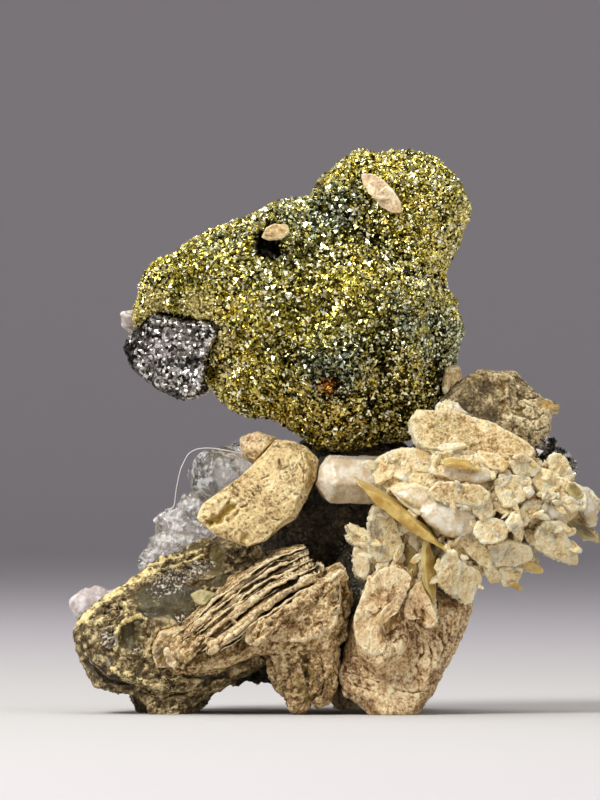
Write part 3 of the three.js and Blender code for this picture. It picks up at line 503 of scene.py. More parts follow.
# The chalcopyrite lump: uneven lobes under a crust of small tarnished crystals
lump = {
    "net": 0.5,          # millimetres between the points of the surface
    "worn": 14,
    "swells": 0.75,      # height of the lobes' own unevenness
    "spacing": 0.33,     # between crystals
    "size": (0.15, 0.32),
    # pits without crystals, painted near black as shade in the holes: x, z and half sizes
    "pits": [(-7.6, 54.6, 1.35, 1.05), (-1.15, 59.2, 0.65, 0.65)],
    # on the front, in millimetres: place, reach, softness of its edge, and strength
    "spots": {
        "cool": [
            ((-4, -3, 58), 9, 0.9, 0.5), ((-8.5, -7, 50), 5, 0.9, 0.4), ((8.5, -6, 45), 8, 0.9, 0.4),
            ((1, -5, 60), 6, 0.9, 0.4), ((-13, -4, 54), 5, 0.9, 0.3), ((6.5, -8, 47), 5, 0.9, 0.3),
            ((15, 0, 43.5), 8, 0.8, 0.6), ((0, -10, 41), 7, 0.8, 0.4),
        ],
        "warm": [((-13, -2, 41), 8, 0.7, 0.4), ((0, -6, 34), 12, 0.9, 0.6), ((8, -7, 39), 7, 0.9, 0.2)],
        "rust": [
            ((3, -6, 32.4), 3, 0.9, 0.3), ((-0.8, -11.8, 38.2), 2, 0.8, 0.9),
            ((-14.6, -6, 39.4), 2, 0.9, 0.4), ((-4.6, -10, 34.4), 1.6, 0.9, 0.4),
        ],
        "matte": [
            ((-16, -6, 47.6), 3.2, 0.5, 1), ((-13.2, -6, 43.5), 2.4, 0.5, 1),
            ((-20.5, -4, 48.3), 2.4, 0.5, 1),
            ((-13.6, -5, 39.6), 2.2, 0.5, 1), ((-22.6, -3, 46.2), 1.8, 0.5, 1),
        ],
        "shadow": [((5, -9, 35), 13, 0.9, 0.2), ((-0.8, -12, 38.6), 3, 0.8, 0.14)],
        "knob": [((-0.4, -11.5, 39.8), 5, 0.7, 0.55)],
    },
    "tones": {
        "olive": (168, 160, 74),
        "brass": (246, 230, 128),
        "teal": (146, 164, 152),
        "gold": (248, 220, 104),
        "pale": (255, 252, 222),
        "knob": (104, 116, 112),
        "rust": (206, 142, 62),
        # near black, the painted shade in the pits
        "pit": (12, 9, 5),
    },
    "seed": 5,
    # valleys and swellings on the front: line, reach and height in millimetres
    "relief": [
        ([(-1.2, 59.8), (4, 55.4), (9.6, 51.9), (12.7, 51)], 2.4, -0.9),
        ([(-0.9, 39.7), (0.3, 40.1)], 3.8, 1.0),
        ([(-0.8, 38.4), (0, 38.2)], 1.3, -0.5),
        ([(-5.4, 43), (-5.2, 38.5), (-3.5, 35.6)], 1.7, -0.6),
        ([(5.4, 43.5), (5.8, 39), (4.5, 36)], 1.9, -0.6),
        ([(11.5, 47), (12.5, 43), (11, 39)], 1.9, -0.7),
        ([(-14, 51.5), (-10.5, 52.5)], 2.5, 0.4),
        ([(-12.8, 44.4), (-12.4, 40)], 1.2, -0.3),
        ([(-7.2, 53.4), (-2.6, 54.4), (0.6, 53)], 1.4, -0.4),
        ([(2.4, 49.6), (6.6, 47.2)], 2.6, 0.5),
    ],
}


def chalcopyriteFinish():
    f = Finish("tarnishedChalcopyrite")
    tones = lump["tones"]
    spots = {kind: f.nearAll(places) for kind, places in lump["spots"].items()}
    tint = f.mark("tint")
    other = f.maths("FRACT", tint * 7.3) - 0.5       # a second number for each crystal
    patches = f.noise(6, 3, 0.55, seed=1)
    uneven = f.noise(2.4, 3, 0.6, seed=2) * 0.6
    colour = f.mix(f.rise(patches + other * 0.3, 0.36, 0.62), tones["olive"], tones["brass"])
    colour = f.mix(f.rise(spots["cool"] + uneven + other * 0.7, 0.55, 0.85) * 0.8, colour, tones["teal"])
    colour = f.mix(f.rise(spots["warm"] + uneven - other * 0.9, 0.6, 0.95) * 0.7, colour, tones["gold"])
    colour = f.mix(f.rise(tint, 0.6, 0.88) * 0.85, colour, tones["pale"])
    colour = f.mix(spots["knob"], colour, tones["knob"])
    broken = f.noise(0.6, 2, 0.6, seed=4) * 0.5 + f.noise(2.6, 3, 0.6, seed=8) * 0.4
    # Some crystals are darkened at random, and painted shade darkens them further in the shadow spots and the
    # valleys
    darkTintAndShade = tint * 0.75 + broken - spots["shadow"] - f.mark("hollow") * 0.16
    colour = f.shade(f.ramp(darkTintAndShade, {0.4: 0.04, 0.7: 1.0}), colour)
    colour = f.mix(f.rise(spots["rust"] + other * 0.6, 0.42, 0.62) * 0.6, colour, tones["rust"])
    matte = f.rise(spots["matte"] + other * 0.9, 0.4, 0.8)
    crumbs = f.mix(f.rise(f.noise(0.3, 3, 0.6, seed=9), 0.42, 0.56), (132, 106, 36), (255, 242, 166))
    colour = f.mix(matte * 0.75, colour, crumbs)
    # painted shade: each pit is coloured near black
    for x, z, wide, _ in lump["pits"]:
        colour = f.mix(f.near((x, -5, z), 2 * wide, 0.4), colour, tones["pit"])
    return f.surface(
        Base_Color=colour,
        Metallic=1 - matte * 0.5,
        Roughness=f.rise(f.noise(1.5, 2, 0.5, seed=6), 0.3, 0.8) * 0.16 + 0.1 + matte * 0.2,
        Normal=f.bump(f.cells(0.24, 7) + f.noise(0.09, 2, 0.6, seed=7) * 0.5, 0.5, 0.06),
    )
# 1 on a line drawn on the front, falling softly to 0 at its reach
def alongLine(line, reach, points):
    return 0.5 - 0.5 * np.cos(math.pi * np.clip(1 - awayFrom(line, points) / reach, 0, 1))


# Painted shade for the lump's valleys: 1 deep in a valley on its front, used to darken the crystals there
def lumpValleyShade(points):
    valleys = [(line, reach) for line, reach, rise in lump["relief"] if rise < 0]
    return sum(alongLine(line, reach, points) for line, reach in valleys) * np.clip(-points[:, 1] / 2, 0, 1)


# Seats for crystals, none in the black pits
def outOfPits(seats, outward):
    kept = np.ones(len(seats), bool)
    for x, z, wide, tall in lump["pits"]:
        kept &= (np.hypot((seats[:, 0] - x) / wide, (seats[:, 2] - z) / tall) > 1) | (seats[:, 1] > 0)
    return kept


def makeLump():
    skin = fineSkin("chalcopyrite_lump", lump["net"], lump["worn"])
    swells = 0.5 * roughness(skin.points, 4, 3) + 0.5 * roughness(skin.points, 1.9, 9, 2)
    skin.swell(lump["swells"] * swells)
    for line, reach, rise in lump["relief"]:
        skin.swell(rise * alongLine(line, reach, skin.points) * np.clip(-2 * skin.normals()[:, 1], 0, 1))
    finish = chalcopyriteFinish()
    # painted valley shade, marked on the skin under the crystals
    valleyShadeMarks = {"hollow": lumpValleyShade(skin.points)}
    under = meshObject("chalcopyriteLump", skin.points - skin.normals() * 0.12, skin.faces, valleyShadeMarks)
    settle(under, finish, "chalcopyrite", "chalcopyrite_lump", share=0.35)
    chance = np.random.default_rng(lump["seed"])
    seats, outward = seatsOn(skin, lump["spacing"], lump["seed"], outOfPits)
    low, high = lump["size"]
    sizes = low + (high - low) * chance.random(len(seats)) ** 2
    shapes = sizes[:, None] * (1 + 0.25 * chance.normal(size=(len(seats), 3)).clip(-1.6, 1.6))
    turns = turned(len(seats), chance)
    first = len(seats) * 2 // 3          # two in three are sphenoids, the rest bipyramids
    points, faces, marks = joinedUp([
        crystalsAt(sphenoid, seats[:first], turns[:first], shapes[:first] * 0.8, chance),
        crystalsAt(bipyramid, seats[first:], turns[first:], shapes[first:] * 1.15, chance),
    ])
    # painted valley shade, marked on the crystals
    marks["hollow"] = lumpValleyShade(points)
    settle(meshObject("chalcopyriteDruse", points, faces, marks, smooth=False), finish, "chalcopyrite")


makeLump()
# Calcite: blades under a crumbly tan coat, with painted shade that makes every dent browner and a painted
# highlight that makes every crest pale
calcite = {
    "net": 0.16,         # millimetres between the points of a surface
    "worn": 1,
    "spread": 0.12,      # how far the coat reaches past the bare blade
    "broad": 0.14,       # heights of its swells, chips, crests and pits
    "tilt": 0.3,
    "grain": 0.07,
    "pits": 0.16,
    "chip": 1.1,         # size of a chip, and how long it is along its way
    "long": 1.8,
    "way": (0.3, 0.2, 1),
    "speck": 0.5,
    "calm": 0,
    "tone": 0,
    "share": 0.6,        # of the corners that are kept
    "blades": (),        # crisp blades that stand on it: rim, depth, thickness, lean, tone, milk, specks
    "bladeSkin": {},     # what is different on those
    # how pale a stroke is: partly the stone's own tone, partly painted shade along grooves and painted
    # highlight along ridges
    "strokes": (),       # lines drawn on the front: half width, height, how pale and how amber
    "cuts": (),          # faces cut flat: a place on each and the way it looks out
}
# How its finish looks, where a kind doesn't say otherwise
coat = {
    # colour of the painted shade in dents and crevices
    "depths": (66, 50, 22),
    "amber": (188, 142, 44),
    "contrast": 1,
    "gloss": 0.6,
    "relief": 1,
    "turn": 0,
    "soft": 0,
}


# Tones run from the dents to the crests: the colour follows the bump's height, partly the coat's own mottle
# and partly painted shade in the dents and painted highlight on the crests
def calciteFinish(name, seed, tones, **changes):
    kind = {**coat, **changes}
    f = Finish(name)
    fine = f.noise(0.3, 3, 0.64, seed=seed)
    streak = f.noise(0.5, 3, 0.62, seed=seed + 3, stretch=(1, 1, 0.35), turn=kind["turn"])
    mid = f.noise(1.1, 4, 0.62, seed=seed + 1)
    broad = f.noise(4.4, 3, 0.6, seed=seed + 2)
    height = fine * 0.4 + streak * 0.3 + mid * 0.3
    lively = 1 - f.mark("calm") * 0.6
    # painted light: paler where the surface stands out from its neighbours, darker where it dips
    value = ((height - 0.5) * (1.25 * kind["contrast"]) + f.mark("crest") * 0.07) * lively
    value = value + f.mark("tone") * 0.05 + 0.51 + (broad - 0.5) * 0.35
    colour = f.ramp(value, dict(zip((0.33, 0.42, 0.5, 0.58, 0.68), tones)))
    patch = f.rise(f.noise(2.6, 3, 0.6, seed=seed + 4), 0.48, 0.58)
    lines = f.cracks(0.9, seed + 5, 0.022) * patch
    colour = f.mix(lines * 0.5, colour, tones[0])
    spots = f.cells(0.62, seed) + (fine - 0.5) * 1.1 + (patch - 0.5) * -0.12
    spots = (1 - f.rise(spots, 0.16, 0.3)) * f.mark("speck")
    colour = f.mix(spots * 0.75, colour, between(tones[0], tones[1], 0.4))
    milk, sunk = f.mark("milk"), f.mark("sunk")
    colour = f.mix(milk * 0.8, colour, (244, 226, 190))
    # painted highlight: paler along the outer edges
    colour = f.mix(f.mark("edge") * 0.35, colour, (252, 238, 196))
    # painted shade: darker, and then the shade colour, deeper in the crevices
    colour = f.mix(f.rise(sunk, 0, 0.5) * 0.7, colour, between(tones[1], kind["depths"], 0.45))
    colour = f.mix(f.rise(sunk, 0.4, 1) * 0.85, colour, kind["depths"])
    colour = f.mix(f.mark("honey"), colour, kind["amber"])
    return f.surface(
        Base_Color=colour,
        Roughness=f.rise(mid, 0.3, 0.7) * 0.2 + (kind["gloss"] - 0.1) - milk * 0.2,
        Normal=f.bump(height - lines * 0.1 - spots * 0.12, 0.9 * kind["relief"], 0.7),
        Specular_IOR_Level=0.5,
        Subsurface_Weight=kind["soft"],
        Subsurface_Radius=(1, 0.85, 0.6),
        Subsurface_Scale=0.8 * millimetre,
    )


# Gives a skin its relief, and says for each point how it is to be coloured
def worked(skin, settings, seed, **marks):
    settings = {**calcite, **settings}
    points = skin.points
    laid = drawnOut(points, settings["way"], settings["long"])
    rugged = np.clip(0.6 + 0.8 * waves(points, 4.5, seed + 30), 0.15, 1)
    smooth = rugged * (1 - 0.8 * np.clip(marks.get("milk", 0) + marks.get("smooth", 0), 0, 1))
    _, flake, margin, level = grains(laid, settings["chip"], seed + 9)
    away, chance, _, _ = grains(points, 0.9, seed + 20)
    deep = np.where(chance > 0.6, np.clip(1 - away / 0.45, 0, 1), 0)
    height = settings["spread"] + settings["broad"] * roughness(points, 2.4, seed, 2)
    height += settings["tilt"] * level * smooth
    height += settings["grain"] * crests(laid, 0.6, seed + 4) * smooth
    height -= settings["pits"] * deep**0.7 * smooth
    skin.swell(height)
    skin.points[:, 2] = np.maximum(skin.points[:, 2], 0.02)
    near = skin.standing(5)
    wide = skin.standing(36)
    blank = np.zeros(len(points))
    # Painted light among these marks: light and shade from the small relief, shade in the wide crevices, and
    # a highlight along the outer edges
    kept = {
        "crest": np.clip(near / max(np.percentile(np.abs(near), 90), 0.02), -1.3, 1.3),
        "sunk": np.clip(-wide / 0.5 - 0.25, 0, 1),
        "edge": np.clip(wide / 0.35 - 0.5, 0, 1),
        "tone": blank,
        "honey": blank,
        "milk": blank,
        "speck": blank + settings["speck"],
        "calm": blank + settings["calm"],
        **marks,
    }
    kept["tone"] = kept["tone"] + 1.2 * (flake - 0.5) * smooth
    return kept


# Faces cut flat: a place on each and the way it looks out
def cutFlat(skin, cuts):
    for place, way in cuts:
        way = unit(way)
        past = (skin.points - place) @ way
        skin.points = skin.points - np.maximum(past, 0)[:, None] * way

# One piece of calcite: its solid's own form, the blades on it, or both
def makeCalcite(name, node, material, slot="calcite", seed=1, **changes):
    own = {**calcite, **changes}
    piece = None
    if node:
        skin = fineSkin(node, own["net"], own["worn"])
        cutFlat(skin, own["cuts"])
        height, shadeAndTone, honey = strokeMarks(own["strokes"], skin, seed + 40)
        skin.swell(height)
        marks = worked(skin, own, seed, tone=own["tone"] + shadeAndTone, honey=honey)
        piece = thinned(meshObject(name, skin.points, skin.faces, marks), own["share"])
    if own["blades"]:
        cluster = bladeCluster(name, own["blades"], own["strokes"], {**own, **own["bladeSkin"]}, seed)
        piece = together(piece, cluster) if piece else cluster
    settle(piece, material, slot, *([node] if node else []))


# Crisp blades, with the relief of their faces, in one mesh
def bladeCluster(name, blades, strokes, settings, seed):
    shells = [crystalBlade(*blade, seed=seed * 10 + k) for k, blade in enumerate(blades)]
    points, faces, marks = joinedUp(shells)
    skin = Skin(points, faces)
    height, shadeAndTone, honey = strokeMarks(strokes, skin, seed + 40)
    skin.swell(height)
    marks["tone"] = marks["tone"] + shadeAndTone
    marks["honey"] = np.maximum(marks["honey"], honey)
    marks = worked(skin, settings, seed, **marks)
    cluster = meshObject(name, skin.points, skin.faces, marks)
    cluster.data.set_sharp_from_angle(angle=math.radians(34))
    return cluster

# The way a blade looks out whose face runs back to the right and up by lean
def outOf(lean):
    return np.array([lean[0], -1, lean[1]]) / math.sqrt(1 + lean[0] ** 2 + lean[1] ** 2)


# A closed blade with broken, bevelled edges, whose rim is drawn as seen from the front.
# It turns amber towards one end.
def crystalBlade(rim, depth, thick, lean=(0, 0), tone=0, milk=0, speck=0, bevel=0.16, pitch=0.21, seed=0):
    rim = np.array(rim, float)
    beside = np.roll(rim, -1, axis=0)
    if np.sum(rim[:, 0] * beside[:, 1] - beside[:, 0] * rim[:, 1]) < 0:
        rim = rim[::-1]
    segments = int(np.clip(np.linalg.norm(beside - rim, axis=1).sum() / pitch, 30, 180))
    line = raggedLine(rim, segments, seed, 0.1)
    middle = line.mean(axis=0)
    reach = np.linalg.norm(line - middle, axis=1)
    rows = int(np.clip(reach.mean() / (1.15 * pitch), 3, 14))
    inner = np.maximum(1 - bevel / reach, 0.4)
    half = thick / 2
    rings = [(inner * k / rows, half) for k in range(1, rows + 1)]
    rings += [(np.ones(segments), half - min(bevel, 0.6 * thick)), (inner, -half), (inner * 0.5, -half)]
    chance = np.random.default_rng(seed)
    turn = chance.uniform(0, 2 * math.pi)
    levels = [(np.zeros((1, 2)), half)]
    levels += [((line - middle) * share[:, None], offset) for share, offset in rings]
    levels.append((np.zeros((1, 2)), -half))
    points, honey = [], []
    for away, offset in levels:
        base = np.stack([middle[0] + away[:, 0], depth + away @ lean, middle[1] + away[:, 1]], axis=1)
        points.append(base + offset * outOf(lean))
        honey.append(away @ (math.cos(turn), math.sin(turn)) / reach.mean())
    points = np.concatenate(points)
    honey = np.clip(np.concatenate(honey) - 0.45, 0, 1) * chance.uniform(0.2, 1)
    faces = [fan(0, 1, segments)]
    starts = [1 + row * segments for row in range(len(rings))]
    for near, far in zip(starts, starts[1:]):
        faces += band(near, far, segments)
    faces.append(fan(len(points) - 1, starts[-1], segments)[:, ::-1])
    whole = np.ones(len(points))
    marks = {"tone": tone * whole, "milk": milk * whole, "speck": speck * whole, "honey": honey * (1 - milk)}
    return points, np.concatenate(faces), marks


# The line round a blade, its corners just broken and its edge ragged
def raggedLine(rim, count, seed, ragged):
    line = np.array(rim, float)
    following = np.roll(line, -1, axis=0)
    line = np.stack([0.92 * line + 0.08 * following, 0.08 * line + 0.92 * following], axis=1).reshape(-1, 2)
    closed = np.concatenate([line, line[:1]])
    even = placesAlong(closed, np.linspace(0, distanceAlong(closed)[-1], count, endpoint=False))
    flat = np.column_stack([even, np.full(count, float(seed))])
    return even + unit(even - even.mean(axis=0)) * (ragged * roughness(flat, 0.9, seed, 2))[:, None]
# A long shape with flat sides as seen from the front, like a blade broken at both ends
def splinter(x, z, long, wide, turn, seed):
    chance = np.random.default_rng(seed)
    along = np.array([-0.5, -0.34, -0.04, 0.3, 0.5, 0.4, 0.08, -0.3]) * long
    aside = np.array([-0.12, -0.42, -0.5, -0.4, -0.02, 0.36, 0.5, 0.4]) * wide
    along = along + 0.07 * long * chance.uniform(-1, 1, 8)
    aside = aside + 0.09 * wide * chance.uniform(-1, 1, 8)
    cosine, sine = math.cos(math.radians(turn)), math.sin(math.radians(turn))
    return np.stack([x + along * cosine - aside * sine, z + along * sine + aside * cosine], axis=1)

# A closed rounded form, thickest in the middle, whose rim is drawn as seen from the front
def roundedShell(rim, depth, thick, lean, seed, segments=96):
    line = raggedLine(rim, segments, seed, 0.1)
    middle = line.mean(axis=0)
    reach = np.array([0.35, 0.65, 0.84, 0.93, 0.98, 1.0])
    rings = len(reach)
    flat = np.concatenate([middle[None]] + [middle + (line - middle) * r for r in reach])
    spread = np.concatenate([[0.0], np.repeat(reach, segments)])
    away = flat - middle
    base = np.stack([flat[:, 0], depth + lean[0] * away[:, 0] + lean[1] * away[:, 1], flat[:, 1]], axis=1)
    half = (0.5 * thick * (1 - spread**3) ** 0.5)[:, None] * outOf(lean)
    points = np.concatenate([base + half, (base - half)[: 1 + (rings - 1) * segments]])
    behind = 1 + rings * segments
    faces = [fan(0, 1, segments), fan(behind, behind + 1, segments)[:, ::-1]]
    for row in range(1, rings):
        near = 1 + (row - 1) * segments
        far = near + segments
        faces += band(near, far, segments)
        back = band(behind + near, far if row == rings - 1 else behind + far, segments)
        faces += [triangles[:, ::-1] for triangles in back]
    return points, np.concatenate(faces)
# Which points lie within a closed line as seen from the front
def within(rim, points):
    inside = np.zeros(len(points), bool)
    for (right, up), (nextRight, nextUp) in zip(rim, [*rim[1:], rim[0]]):
        passes = (up > points[:, 2]) != (nextUp > points[:, 2])
        edge = (nextRight - right) * (points[:, 2] - up) / (nextUp - up + 1e-9) + right
        inside ^= passes & (points[:, 0] < edge)
    return inside

# 1 on a line drawn on the front and 0 beside it, with a ragged edge
def onLine(line, width, points, seed, size=0.6, full=1.3):
    ragged = width * (1 + 0.7 * roughness(points, size, seed, 3)).clip(0.1)
    return np.clip(full - awayFrom(line, points) / ragged, 0, 1)


# How much of a raised line is left, crumb by crumb
def crumbled(points, seed):
    return np.clip(0.5 + 1.2 * roughness(points, 0.5, seed, 2), 0, 1.4)


# What lines drawn on the front do to a skin: its height, and how pale or amber it is along them. How pale is
# partly the stone's own tone, and partly painted shade along grooves and painted highlight along ridges
def strokeMarks(strokes, skin, seed):
    front, crumble = skin.facing(), crumbled(skin.points, seed)
    height, tone, honey = np.zeros((3, len(skin.points)))
    for k, (line, width, rise, shadeAndTone, amber) in enumerate(strokes):
        on = onLine(line, width, skin.points, seed + k) * front
        height += rise * on * (0.4 + 0.6 * crumble if rise > 0 else 1)
        # painted shade and highlight along the strokes, with their own tone
        tone += shadeAndTone * on
        honey = np.maximum(honey, amber * on)
    return height, tone, honey


bladeCalcite = calciteFinish(
    "bladeCalcite", 4, [(146, 112, 58), (202, 169, 108), (233, 207, 154), (247, 225, 178), (255, 245, 212)],
    depths=(186, 142, 62), gloss=0.42, soft=0.5,
)
tanCalcite = calciteFinish(
    "tanCalcite", 7, [(94, 62, 26), (136, 102, 60), (196, 158, 110), (230, 200, 150), (252, 234, 188)],
)
plateCalcite = calciteFinish(
    "plateCalcite", 11, [(74, 58, 28), (108, 88, 50), (152, 130, 86), (198, 176, 128), (236, 220, 176)],
)
slabCalcite = calciteFinish(
    "slabCalcite", 13, [(92, 74, 38), (172, 140, 88), (216, 186, 128), (238, 212, 152), (250, 234, 184)],
    contrast=0.85, turn=40, amber=(166, 134, 44),
)
leafCalcite = calciteFinish(
    "leafCalcite", 19, [(62, 44, 12), (112, 82, 38), (174, 138, 86), (222, 191, 138), (252, 235, 186)],
    depths=(76, 70, 38), turn=-50, amber=(150, 128, 56),
)
pinkCalcite = calciteFinish(
    "pinkCalcite", 25, [(136, 108, 76), (184, 154, 116), (216, 188, 148), (236, 212, 172), (250, 236, 204)],
    relief=0.6, soft=0.2,
)


# Honey-coloured calcite, a little see-through, with a painted highlight along its edges that leaves it darker
# along its middle
def honeyFinish(name, seed, pale, deep):
    f = Finish(name)
    streaks = f.noise(1.6, 3, 0.6, seed=seed)
    colour = f.mix(f.rise(streaks, 0.34, 0.66), deep, pale)
    # painted highlight along the edges
    colour = f.mix(f.mark("edge") * 0.7, colour, (248, 228, 160))
    dust = f.rise(f.noise(0.5, 3, 0.6, seed=seed + 1), 0.56, 0.66) * 0.2
    return f.surface(
        Base_Color=f.mix(dust, colour, (232, 212, 160)),
        Roughness=f.rise(streaks, 0.3, 0.7) * 0.2 + 0.28,
        Normal=f.bump(f.noise(0.5, 3, 0.6, seed=seed + 2), 0.35, 0.4),
        IOR=1.6,
        Transmission_Weight=0.3,
        Subsurface_Weight=0.4,
        Subsurface_Radius=(1, 0.7, 0.3),
        Subsurface_Scale=0.8 * millimetre,
    )


honeyCalcite = honeyFinish("honeyCalcite", 31, pale=(232, 204, 116), deep=(192, 150, 54))
yellowCalcite = honeyFinish("yellowCalcite", 33, pale=(228, 216, 158), deep=(176, 160, 96))
oliveCalcite = honeyFinish("oliveCalcite", 35, pale=(176, 154, 78), deep=(104, 88, 26))
honeySkin = {"pits": 0.02, "broad": 0.03, "grain": 0.015, "tilt": 0.06, "spread": 0}
